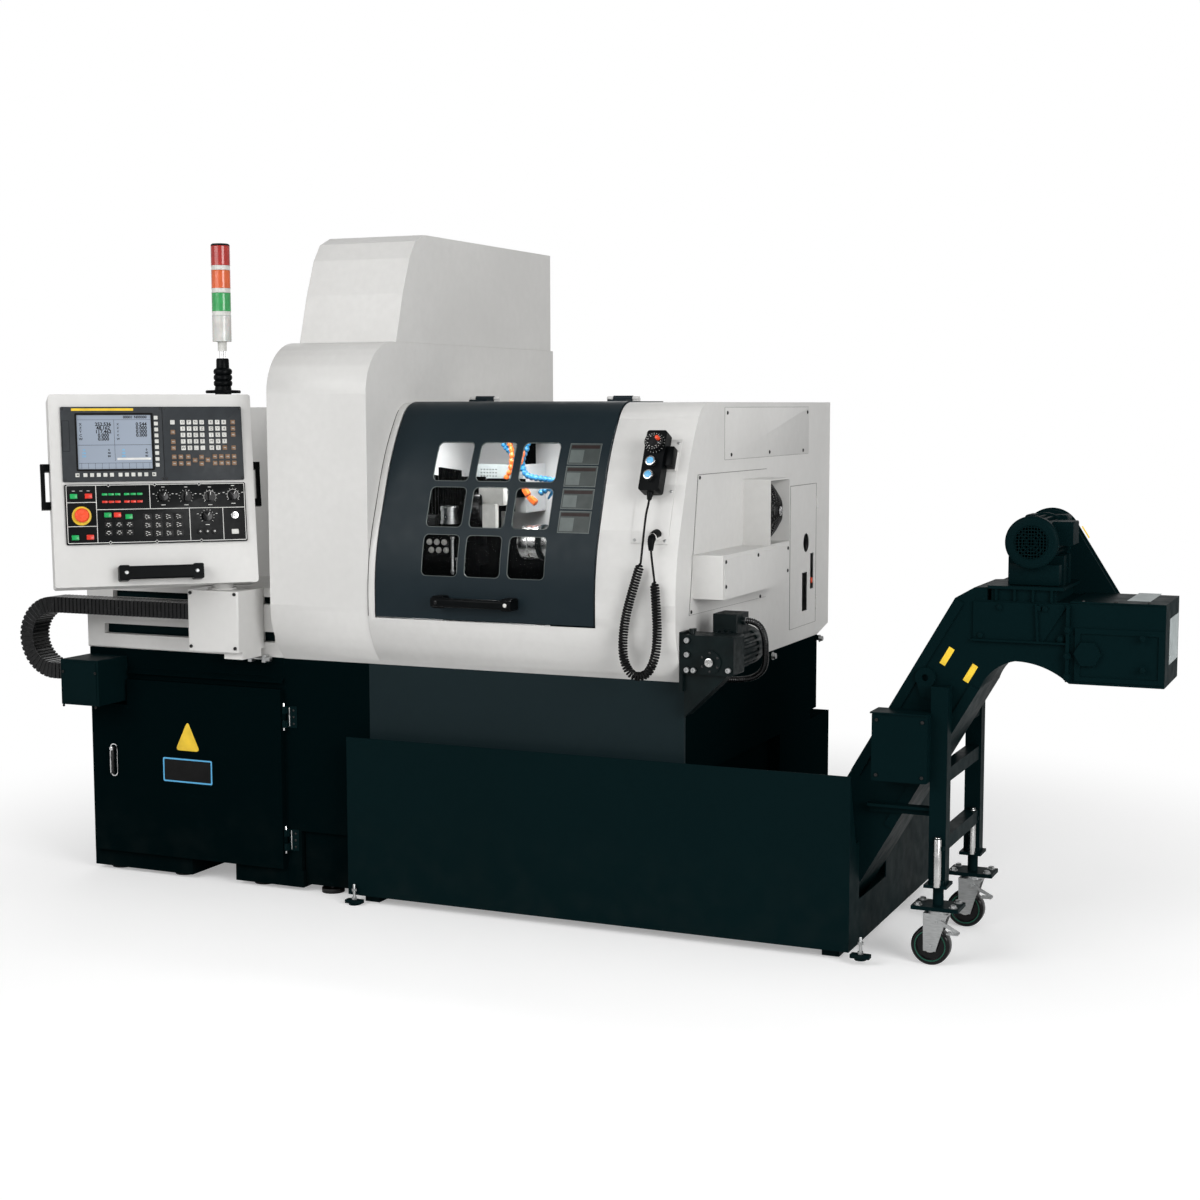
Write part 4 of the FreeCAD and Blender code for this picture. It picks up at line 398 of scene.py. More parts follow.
class Finish(Nodes):
    """Node material being put together on the object's own coordinates."""

    def __init__(self, name):
        self.material = bpy.data.materials.new(name)
        self.material.use_nodes = True
        super().__init__(self.material.node_tree)
        self.shader = self.tree.nodes["Principled BSDF"]
        self.coordinates = self.node("TexCoord").outputs["Object"]
        FINISHES[name] = self.material

    def set(self, **values):
        """Values of the shader's own sockets, their names with _ for a space."""
        for key, value in values.items():
            self.put(self.shader.inputs[key.replace("_", " ")], value)

    def noise(self, scale, detail=3.0, stretch=(1, 1, 1)):
        mapping = self.node("Mapping", {"Scale": stretch, "Vector": self.coordinates})
        return self.node("TexNoise", {"Scale": scale, "Detail": detail,
                                      "Vector": mapping.outputs["Vector"]}).outputs["Fac"]

    def shade(self, factor, first, second):
        """Colour between two, each a colour or another node's output."""
        colours = [c if isinstance(c, bpy.types.NodeSocket) else (*c[:3], 1) for c in (first, second)]
        return self.node("Mix", {"Factor": factor, "A": colours[0], "B": colours[1]},
                         data_type="RGBA").outputs["Result"]

    def times(self, first, second):
        return self.node("Math", {0: first, 1: second}, operation="MULTIPLY").outputs[0]

    def settled(self, height, dust):
        """Share of dust in patches, from the floor up to a height in metres."""
        parts = self.node("SeparateXYZ", {0: self.coordinates})
        near_floor = self.spread(parts.outputs["Z"], 0.0, 1.0, height, 0.0)
        return self.times(near_floor, self.spread(self.noise(14, 6), 0.0, dust, 0.42, 0.75))

    def bump(self, *layers):
        """Layers are (height, strength, depth in metres)."""
        normal = None
        for height, strength, depth in layers:
            inputs = {"Strength": strength, "Distance": depth, "Height": height}
            if normal is not None:
                inputs["Normal"] = normal
            normal = self.node("Bump", inputs).outputs["Normal"]
        self.set(Normal=normal)


DUST_HEIGHT, DUST_COLOUR = 0.30, (0.30, 0.28, 0.25)


def tone(colour, factor):
    """Colour made lighter or darker."""
    return tuple(min(1.0, c * factor) for c in colour[:3])


def sheet_paint(name, colour, gloss=0.42, peel=0.12, dust=0.0, sheen=0.5):
    """Stoved paint on sheet steel: orange peel, cloudy tone and dust near the floor."""
    f = Finish(name)
    cloud = f.spread(f.noise(2.2, 5), 0.0, 1.0)
    fine = f.spread(f.noise(46, 4), 0.0, 1.0)
    body = f.shade(cloud, tone(colour, 0.93), tone(colour, 1.04))
    body = f.shade(f.times(fine, 0.35), body, tone(colour, 0.9))
    if dust > 0:
        body = f.shade(f.settled(DUST_HEIGHT, dust), body, DUST_COLOUR)
    f.set(Base_Color=body, Roughness=f.spread(f.noise(24, 4), gloss - 0.05, gloss + 0.07),
          Specular_IOR_Level=sheen)
    f.bump((f.noise(520, 2), peel, 0.0004), (f.noise(9, 2), peel * 0.5, 0.0015))


def bare_metal(name, colour, rough=0.3, grain=(1, 1, 40), grain_depth=0.05):
    """Worked metal with a grain along one direction."""
    f = Finish(name)
    streak = f.noise(60, 4, grain)
    f.set(Base_Color=f.shade(f.spread(streak, 0, 1), tone(colour, 0.82), tone(colour, 1.08)), Metallic=1.0,
          Roughness=f.spread(f.noise(35, 5), rough - 0.07, rough + 0.1))
    f.bump((streak, grain_depth, 0.0003), (f.noise(300, 2), grain_depth * 0.6, 0.0002))


def moulding(name, colour, rough=0.5, grain=0.15, scale=900, coat=0.0, sheen=0.3, depth=0.0):
    """Moulded plastic or rubber with a fine grain, and for lenses light that enters it."""
    f = Finish(name)
    f.set(Base_Color=f.shade(f.spread(f.noise(30, 5), 0, 1), tone(colour, 0.86), tone(colour, 1.1)),
          Roughness=f.spread(f.noise(80, 4), rough - 0.06, rough + 0.08), Specular_IOR_Level=sheen,
          Coat_Weight=coat, Coat_Roughness=0.12, Subsurface_Weight=depth)
    f.bump((f.noise(scale, 2), grain, 0.0002))


def casting(name, colour, rough=0.5, sheen=0.25):
    """Painted casting with a pebbled skin."""
    f = Finish(name)
    f.set(Base_Color=f.shade(f.spread(f.noise(18, 6), 0, 1), tone(colour, 0.75), tone(colour, 1.3)),
          Roughness=f.spread(f.noise(60, 4), rough - 0.1, rough + 0.12), Specular_IOR_Level=sheen)
    f.bump((f.noise(170, 4), 0.35, 0.0008), (f.noise(700, 2), 0.2, 0.0003))


# Name: colour, roughness, grain's strength, grain's scale, coat, sheen.
MOULDINGS = {
    "black_plastic": ((0.0020, 0.0026, 0.0030), 0.34, 0.12, 1100, 0, 0.06),
    "black_gloss": ((0.0030, 0.0032, 0.0036), 0.20, 0.03, 400, 0, 0.25),
    "chain_black": ((0.0030, 0.0033, 0.0037), 0.20, 0.08, 500, 0, 0.5),
    "rubber_black": ((0.0032, 0.0034, 0.0036), 0.46, 0.25, 800, 0, 0.14),
    "unit_grey": ((0.030, 0.034, 0.038), 0.45, 0.22, 1300, 0, 0.2),
    "desk_black": ((0.0035, 0.0042, 0.0046), 0.38, 0.10, 1300, 0, 0.12),
    "mark_white": ((0.66, 0.66, 0.64), 0.55, 0.03, 500),
    "mark_black": ((0.006, 0.006, 0.006), 0.55, 0.03, 500, 0, 0.1),
    "shadow_black": ((0.0012, 0.0014, 0.0016), 0.70, 0.10, 500, 0, 0.0),
    "key_white": ((0.62, 0.62, 0.59), 0.42, 0.05, 900, 0.1),
    "key_tan": ((0.22, 0.13, 0.075), 0.42, 0.05, 900, 0.1),
    "key_dark": ((0.010, 0.010, 0.010), 0.42, 0.05, 900, 0, 0.2),
    "green_key": ((0.008, 0.36, 0.09), 0.30, 0.03, 600, 0.2),
    "red_key": ((0.66, 0.035, 0.018), 0.30, 0.03, 600, 0.2),
    "stop_red": ((0.84, 0.075, 0.020), 0.28, 0.03, 600, 0.3),
    "signal_yellow": ((0.78, 0.52, 0.035), 0.38, 0.04, 600),
    "label_grey": ((0.034, 0.043, 0.041), 0.45, 0.03, 400),
    "label_head": ((0.022, 0.014, 0.013), 0.45, 0.03, 400, 0, 0.15),
    "label_edge": ((0.090, 0.108, 0.104), 0.40, 0.03, 400),
    "seam_grey": ((0.16, 0.16, 0.155), 0.6, 0.03, 400, 0, 0.1),
    "label_pale": ((0.36, 0.40, 0.40), 0.40, 0.03, 400),
    "frame_blue": ((0.10, 0.40, 0.68), 0.40, 0.03, 600),
    "hose_blue": ((0.022, 0.15, 0.30), 0.30, 0.03, 500, 0.2),
    "hose_orange": ((0.66, 0.13, 0.025), 0.30, 0.03, 500, 0.2),
    "rim_green": ((0.006, 0.075, 0.045), 0.30, 0.06, 500, 0, 0.3),
    "cap_blue": ((0.12, 0.42, 0.72), 0.25, 0.02, 500, 0.5),
    "grip_grey": ((0.30, 0.31, 0.32), 0.35, 0.08, 600, 0.2),
}
LENSES = {"lens_red": (0.38, 0.022, 0.016), "lens_orange": (0.64, 0.115, 0.03),
          "lens_green": (0.035, 0.32, 0.09), "lens_white": (0.56, 0.555, 0.53)}


def make_finishes(colours):
    white, dark = colours.cover_white, colours.base_dark
    sheet_paint("cover_white", white, 0.42, 0.08, sheen=0.35)
    sheet_paint("panel_white", tone(white, 1.03), 0.40, 0.06, sheen=0.35)
    sheet_paint("door_grey", colours.door_grey, 0.36, 0.08, sheen=0.10)
    sheet_paint("apron_grey", colours.apron_grey, 0.42, 0.10, sheen=0.08)
    sheet_paint("base_dark", dark, 0.42, 0.12, 0.01, 0.02)
    # Darker copy of the base paint for the frame, cabinet and skirt: partly their own darker tone, partly
    # painted shade where they lie out of the light.
    sheet_paint("frame_dark", tone(dark, 0.45), 0.46, 0.10, 0.01, 0.0)
    sheet_paint("conveyor_dark", dark, 0.34, 0.16, 0.01, 0.012)
    sheet_paint("liner_grey", (0.62, 0.63, 0.63), 0.32, 0.08)
    casting("cast_black", (0.0024, 0.0060, 0.0064), 0.38, 0.12)
    casting("cast_grey", (0.05, 0.052, 0.054), 0.40)
    bare_metal("zinc", (0.50, 0.51, 0.51), 0.33, (1, 1, 6), 0.10)
    bare_metal("bright_steel", (0.62, 0.62, 0.61), 0.22, (40, 1, 1), 0.04)
    bare_metal("chrome", (0.80, 0.80, 0.80), 0.12, (1, 1, 4), 0.01)
    bare_metal("dark_screw", (0.045, 0.045, 0.045), 0.38, (1, 1, 4), 0.06)
    for name, values in MOULDINGS.items():
        moulding(name, *values)
    for name, colour in LENSES.items():
        moulding(name, colour, 0.16, 0.02, 300, 0.6, depth=0.15)
    window_finish()
    display_finish(colours.display_blue)


def window_finish():
    """Polycarbonate pane, faintly scratched."""
    f = Finish("window")
    f.set(Base_Color=f.shade(f.spread(f.noise(12, 4), 0, 1), (0.010, 0.012, 0.012), (0.018, 0.020, 0.020)),
          Roughness=f.spread(f.noise(90, 5, (1, 1, 0.2)), 0.03, 0.12), Alpha=0.04, Specular_IOR_Level=0.12)
    f.bump((f.noise(6, 2), 0.04, 0.002))


def display_finish(colour):
    """Lit liquid crystal display behind glass."""
    f = Finish("display")
    body = f.shade(f.spread(f.noise(3, 2), 0, 1), tone(colour, 0.92), tone(colour, 1.08))
    f.set(Base_Color=body, Roughness=f.spread(f.noise(200, 2), 0.10, 0.16), Emission_Color=body,
          Emission_Strength=0.25, Coat_Weight=0.6, Coat_Roughness=0.05)


WELD_REACH = 0.00002


def dress(nodes, finish, edge=0.0, smooth=32):
    """Give CAD nodes a finish and, where asked, softened edges (in millimetres)."""
    for name in nodes.split():
        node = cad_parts[name]
        node.data.materials.clear()
        node.data.materials.append(FINISHES[finish])
        if edge > 0:
            weld = node.modifiers.new("weld", "WELD")
            weld.merge_threshold = WELD_REACH
            bevel = node.modifiers.new("edge", "BEVEL")
            bevel.width = edge * MM
            bevel.segments = 2
            bevel.limit_method = "ANGLE"
            bevel.angle_limit = math.radians(smooth)
            bevel.harden_normals = True


# ---------------------------------------------------------------- what a user may change


class StageSettings(bpy.types.PropertyGroup):
    lens: bpy.props.FloatProperty(name="Lens", description="Focal length on a 36 mm sensor", default=57.13,
                                  min=10, unit="CAMERA")
    key_power: bpy.props.FloatProperty(name="Key light", description="Strength of the large front light",
                                       default=170, min=0, subtype="POWER")
    fill_power: bpy.props.FloatProperty(name="Fill light", description="Strength of the side and top lights",
                                        default=210, min=0, subtype="POWER")
    lamp_power: bpy.props.FloatProperty(name="Work lamp",
                                        description="Strength of the lamp in the working area", default=6.4,
                                        min=0, subtype="POWER")
    sky: bpy.props.FloatProperty(name="Surround", description="Strength of the light from all round",
                                 default=0.42, min=0)


class ColourSettings(bpy.types.PropertyGroup):
    cover_white: bpy.props.FloatVectorProperty(name="Covers", description="Paint of the covers", size=3,
                                               default=(0.62, 0.615, 0.60), subtype="COLOR", min=0, max=1)
    door_grey: bpy.props.FloatVectorProperty(name="Work door", description="Paint of the work door", size=3,
                                             default=(0.0105, 0.0180, 0.0225), subtype="COLOR", min=0, max=1)
    apron_grey: bpy.props.FloatVectorProperty(name="Apron", description="Paint of the apron panel", size=3,
                                              default=(0.0070, 0.0150, 0.0175), subtype="COLOR", min=0, max=1)
    base_dark: bpy.props.FloatVectorProperty(name="Base", description="Paint of the base, tank and conveyor",
        size=3, default=(0.0017, 0.0084, 0.0095), subtype="COLOR", min=0, max=1)
    display_blue: bpy.props.FloatVectorProperty(name="Display", description="Colour of the lit display",
        size=3, default=(0.24, 0.28, 0.34), subtype="COLOR", min=0, max=1)


class FastenerSettings(bpy.types.PropertyGroup):
    cover_screw: bpy.props.FloatProperty(name="Cover screw",
                                         description="Radius of the covers' screw heads, mm", default=5.5,
                                         min=1)
    frame_bolt: bpy.props.FloatProperty(name="Frame bolt",
                                        description="Radius of the conveyor's bolt heads, mm", default=7.5,
                                        min=1)
    panel_screw: bpy.props.FloatProperty(name="Panel screw",
                                         description="Radius of the panel's screw heads, mm", default=3.2,
                                         min=1)


class CordSettings(bpy.types.PropertyGroup):
    curls: bpy.props.IntProperty(name="Curls", description="Curls of the hand wheel unit's cord", default=80,
                                 min=8)
    wire: bpy.props.FloatProperty(name="Wire", description="Radius of the curly cord's wire, mm", default=3.0,
                                  min=0.5)
    coil: bpy.props.FloatProperty(name="Coil", description="Radius of the curls' middle line, mm",
                                  default=10.2, min=3)
    conduit: bpy.props.FloatProperty(name="Conduit", description="Radius of the motor's conduit, mm",
                                     default=9.0, min=2)


class Maker(bpy.types.Operator):
    """Base of the lathe's makers"""
    bl_idname = "lathe.maker"
    bl_label = "Lathe maker"
    bl_options = {"REGISTER", "UNDO"}


# ---------------------------------------------------------------- stage

CAMERA_PLACE = (2866.98, -4741.14, 1444.88)
CAMERA_YAW, CAMERA_PITCH, CAMERA_ROLL = 23.736, 5.841, -0.089
AIM = Vector((0, 0, 0.9))
LAMPS = (("key", (-2.2, -5.2, 3.5), (4.5, 3.0), "key_power", 1.0),
         ("fill", (5.0, -3.2, 2.5), (3.0, 3.0), "fill_power", 1.0),
         ("top", (0.4, 0.6, 5.0), (5.0, 4.0), "fill_power", 0.15),
         ("back", (-3.0, 4.5, 3.6), (4.0, 2.5), "fill_power", 0.15))
WORK_LAMP, WORK_LAMP_SIZE = (500, 250, 1408), (0.55, 0.10)
FLOOR_REACH, FLOOR_GLOW, FLOOR_FADE = 40.0, 0.31, (1.3, 3.0)
SKY_SPAN, SKY_LOW, SKY_HIGH = (0.15, 0.9), 1.4, 0.3


def area_lamp(context, name, spot, size, power):
    """Rectangular lamp at a point of the frame, shining down."""
    lamp = bpy.data.lights.new(name, "AREA")
    lamp.shape = "RECTANGLE"
    lamp.size, lamp.size_y = size
    lamp.energy = power
    holder = bpy.data.objects.new(name, lamp)
    holder.location = spot
    context.scene.collection.objects.link(holder)
    return holder


class LATHE_OT_stage(Maker):
    """Floor, surround, lights and the camera at the photograph's angle"""
    bl_idname = "lathe.stage"
    bl_label = "Stage"

    def execute(self, context):
        settings = context.scene.lathe_stage
        camera = bpy.data.objects.new("camera", bpy.data.cameras.new("camera"))
        camera.data.lens = settings.lens
        camera.data.sensor_width = 36
        camera.data.clip_end = 100
        view = Matrix.Translation(place(*CAMERA_PLACE))
        for angle, axis in ((CAMERA_YAW, "Z"), (90 - CAMERA_PITCH, "X"), (CAMERA_ROLL, "Z")):
            view = view @ Matrix.Rotation(math.radians(angle), 4, axis)
        camera.matrix_world = view
        context.scene.collection.objects.link(camera)
        context.scene.camera = camera
        self.floor(context)
        self.surround(context, settings.sky)
        for name, spot, size, power, share in LAMPS:
            lamp = area_lamp(context, name, spot, size, getattr(settings, power) * share)
            lamp.rotation_euler = (AIM - Vector(spot)).to_track_quat("-Z", "Y").to_euler()
        lamp = area_lamp(context, "work lamp", place(*WORK_LAMP), WORK_LAMP_SIZE, settings.lamp_power)
        lamp.visible_camera = False
        context.scene.view_settings.view_transform = "Standard"
        return {"FINISHED"}

    def floor(self, context):
        """Pale floor that keeps the shadows near the machine and fades to the white surround."""
        mesh = bpy.data.meshes.new("floor")
        corners = [(x * FLOOR_REACH, y * FLOOR_REACH, 0) for x, y in ((-1, -1), (1, -1), (1, 1), (-1, 1))]
        mesh.from_pydata(corners, [], [(0, 1, 2, 3)])
        floor = bpy.data.objects.new("floor", mesh)
        context.scene.collection.objects.link(floor)
        f = Finish("floor")
        f.set(Base_Color=f.shade(f.noise(3), (0.80, 0.80, 0.80), (0.84, 0.84, 0.84)), Roughness=0.9,
              Specular_IOR_Level=0.0)
        surface, white = f.shader.outputs[0], f.node("Emission").outputs[0]
        glow = f.node("Emission", {"Strength": FLOOR_GLOW}).outputs[0]
        lifted = f.node("AddShader", {0: surface, 1: glow}).outputs[0]
        away = f.node("VectorMath", {0: f.coordinates}, operation="LENGTH").outputs["Value"]
        fade = f.spread(away, 0.0, 1.0, *FLOOR_FADE, interpolation_type="SMOOTHSTEP")
        near = f.node("MixShader", {0: fade, 1: lifted, 2: white}).outputs[0]
        choice = f.node("MixShader", {0: f.seen(), 1: surface, 2: near}).outputs[0]
        f.put(f.tree.nodes["Material Output"].inputs["Surface"], choice)
        mesh.materials.append(f.material)

    def surround(self, context, strength):
        """White for the camera, and light that weakens from the horizon up for everything else."""
        world = bpy.data.worlds.new("surround")
        context.scene.world = world
        world.use_nodes = True
        n = Nodes(world.node_tree)
        parts = n.node("SeparateXYZ", {0: n.node("TexCoord").outputs["Generated"]})
        light = n.spread(parts.outputs["Z"], strength * SKY_LOW, strength * SKY_HIGH, *SKY_SPAN)
        background = n.tree.nodes["Background"].inputs
        n.put(background["Color"], (1, 1, 1, 1))
        n.put(background["Strength"], n.spread(n.seen(), light, 1.0, 0.0, 1.0))


# ---------------------------------------------------------------- cords

UNIT_X = 950.0
SKIN_POINT = Vector((0, 20.071, 1277))
SKIN_OUT, SKIN_UP = Vector((0, -0.91859, 0.39521)), Vector((0, 0.39521, 0.91859))
UNIT_STAND, UNIT_DEEP, UNIT_LENGTH = 18.5, 38.0, 172.0
CORD_PLANE = -95.0
COIL_LINE = [(942, 1029), (917, 950), (897, 880), (889, 815), (893, 760), (919, 722), (961, 728),
             (984, 775), (990, 835), (987, 905), (981, 983)]
CURL_STEPS = 12
WALL_GLAND = Vector((970, -83, 1097))
CONDUIT_ROUTE = [(1168, 102, 865), (1192, 102, 865), (1213, 107, 846), (1217, 124, 812), (1208, 152, 775),
                 (1196, 190, 738), (1172, 224, 706), (1126, 236, 681), (1060, 236, 680)]
CONDUIT_STEPS, CONDUIT_RIBS, RIB_DEPTH = 640, 64, 1.3


def on_unit(x, out, up):
    """Place on the hand wheel unit, in the machine's millimetres."""
    return (Vector((UNIT_X, 0, 0)) + SKIN_POINT + SKIN_OUT * (UNIT_STAND + out) + SKIN_UP * up
            + Vector((x, 0, 0)))


def below_unit(down):
    """Place on the hand wheel unit's middle line below its lower end."""
    return on_unit(0, UNIT_DEEP / 2, -UNIT_LENGTH / 2 - down)


def cord_curve(name, points):
    """Smooth curve with these control points, in metres."""
    curve = bpy.data.curves.new(name, "CURVE")
    curve.dimensions = "3D"
    spline = curve.splines.new("NURBS")
    spline.points.add(len(points) - 1)
    for point, co in zip(spline.points, points):
        point.co = (*co, 1)
    spline.order_u = 3
    spline.use_endpoint_u = True
    spline.resolution_u = 3
    return curve


def read_line(points):
    """Points of the smooth line with these control points."""
    curve = cord_curve("line", points)
    holder = bpy.data.objects.new("line", curve)
    mesh = bpy.data.meshes.new_from_object(holder)
    line = [v.co.copy() for v in mesh.vertices]
    bpy.data.objects.remove(holder)
    bpy.data.meshes.remove(mesh)
    bpy.data.curves.remove(curve)
    return line


def along_line(points, steps):
    """Evenly spaced points along a line, ends included, and the line's length."""
    runs = [(b - a).length for a, b in zip(points, points[1:])]
    total, result, index, passed = sum(runs), [], 0, 0.0
    for step in range(steps + 1):
        want = total * step / steps
        while index < len(runs) - 1 and passed + runs[index] < want:
            passed += runs[index]
            index += 1
        share = (want - passed) / runs[index] if runs[index] else 0
        result.append(points[index].lerp(points[index + 1], min(1.0, share)))
    return result, total


def smooth_line(route, steps):
    """Evenly spaced points, in metres, along a route given in millimetres, and its length."""
    return along_line(read_line([place(*p) for p in route]), steps)


class LATHE_OT_cords(Maker):
    """Curly cord of the hand wheel unit and ribbed conduit of the gear motor"""
    bl_idname = "lathe.cords"
    bl_label = "Cords"

    def execute(self, context):
        settings = context.scene.lathe_cords
        self.curly(context, settings)
        self.ribbed(settings)
        return {"FINISHED"}

    def curly(self, context, settings):
        """Cord out of the unit, curled along the loop's middle line, and up into the wall's holder."""
        count = settings.curls * CURL_STEPS
        middle, _ = along_line(read_line([Vector((x, CORD_PLANE, z)) for x, z in COIL_LINE]), count)
        exit_point, below = below_unit(18), below_unit(38)
        points = [exit_point, below, below + Vector((-1, -14, -19))]
        for index, here in enumerate(middle):
            before, after = middle[max(0, index - 1)], middle[min(count, index + 1)]
            along = (after - before).normalized()
            side = along.cross(Vector((0, 1, 0)))
            turns = index / CURL_STEPS
            swell = min(1.0, turns / 2, (settings.curls - turns) / 2)
            radius = settings.coil * swell * swell * (3 - 2 * swell)
            angle = 2 * math.pi * turns
            points.append(here + side * radius * math.cos(angle) + Vector((0, radius * math.sin(angle), 0)))
        points += [WALL_GLAND + Vector(p) for p in ((5, -12, -70), (1, -13, -30), (0, -12, -3), (0, 0, 0))]
        _, length = smooth_line(points, 1)
        curve = cord_curve("curly_cord", [place(*p) for p in points])
        curve.bevel_depth = settings.wire * MM
        curve.bevel_resolution = 3
        curve.use_fill_caps = True
        cord = bpy.data.objects.new("curly_cord", curve)
        context.scene.collection.objects.link(cord)
        curve.materials.append(FINISHES["rubber_black"])
        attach(cord, "machine")
        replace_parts(cord, "mpg_cord")

    def ribbed(self, settings):
        """Conduit along its route, its radius waving from rib to rib."""
        line, length = smooth_line(CONDUIT_ROUTE, CONDUIT_STEPS)
        radii = []
        for index in range(len(line)):
            wave = 0.5 + 0.5 * math.cos(2 * math.pi * CONDUIT_RIBS * index / CONDUIT_STEPS)
            radii.append((settings.conduit - RIB_DEPTH * (1 - wave) ** 1.5) * MM)
        piece = build("conduit chain_black machine rubber", (swept(line, radii, 20), IN_METRES), smooth=60)
        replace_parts(piece, "motor_conduit")


# ---------------------------------------------------------------- covers


SERVICE_PANEL = (302, 1078, 1292, 1438)
SERVICE_SCREWS = [(321, 1423), (1061, 1422), (354, 1305), (690, 1305), (1018, 1303)]
SERVICE_RISE = 1.2
SEAM_STEPS = 60


class LATHE_OT_covers(Maker):
    """Head cover, hood, main cover and left cover, with the service panel, seams and screws"""
    bl_idname = "lathe.covers"
    bl_label = "Covers"

    def execute(self, context):
        screw = context.scene.lathe_fasteners.cover_screw
        dress("head_cover main_cover", "cover_white", 1.2)
        dress("top_hood", "cover_white", 2.0)
        dress("left_cover", "cover_white", 1.0)
        self.service_panel(screw)
        self.seams()
        return {"FINISHED"}

    def service_panel(self, screw):
        side = seat(COVER_RIGHT, 0, 0, FACING_RIGHT)
        build("service_panel cover_white machine white_cover",
              (sheet(*SERVICE_PANEL, 3, 0.2, SERVICE_RISE, 0.4), side))
        spots = [seat(COVER_RIGHT + SERVICE_RISE, y, z, FACING_RIGHT) for y, z in SERVICE_SCREWS]
        build("service_panel_screws dark_screw machine steel", (dome_screw(screw, 3), *spots))
        build("service_panel_edge seam_grey machine rubber",
              (rim(grown(SERVICE_PANEL, 0.9), 1.2, 4, 3, 0, 0.5), side))

    def seams(self):
        """Joints where the sheets of the covers meet, as thin dark lines of sealant."""
        tree = tree_of("main_cover")
        points = []
        for step in range(SEAM_STEPS):
            z = DOOR_BOTTOM + (ROOF - DOOR_BOTTOM - 22) * step / (SEAM_STEPS - 1)
            points.append(on_skin(tree, HEAD_RIGHT + 8, z).translation + Vector((-7.4, -0.2, 0)) * MM)
        build("head_seam mark_black machine rubber", (swept(points, 0.9 * MM, 8), IN_METRES))
        line = [place(HEAD_LEFT - 2, 330, BASE_TOP + up) for up in (60, 700)]
        build("left_seam mark_black machine rubber", (swept(line, 1.2 * MM, 8), IN_METRES))


# ---------------------------------------------------------------- work door

WINDOW_COLUMNS = [(265, 380), (400, 512), (533, 648)]
WINDOW_ROWS = [(970, 1087), (1106, 1218), (1233, 1342)]
WINDOW_RADIUS = 15.0
PLAIN_COLUMN = DOOR_LEFT + 40
LABEL_SIDES = (675, 770)
LABEL_ROWS = [(1283, 1340), (1223, 1279), (1163, 1218), (1099, 1158)]
PLUG_INSET = 0.017


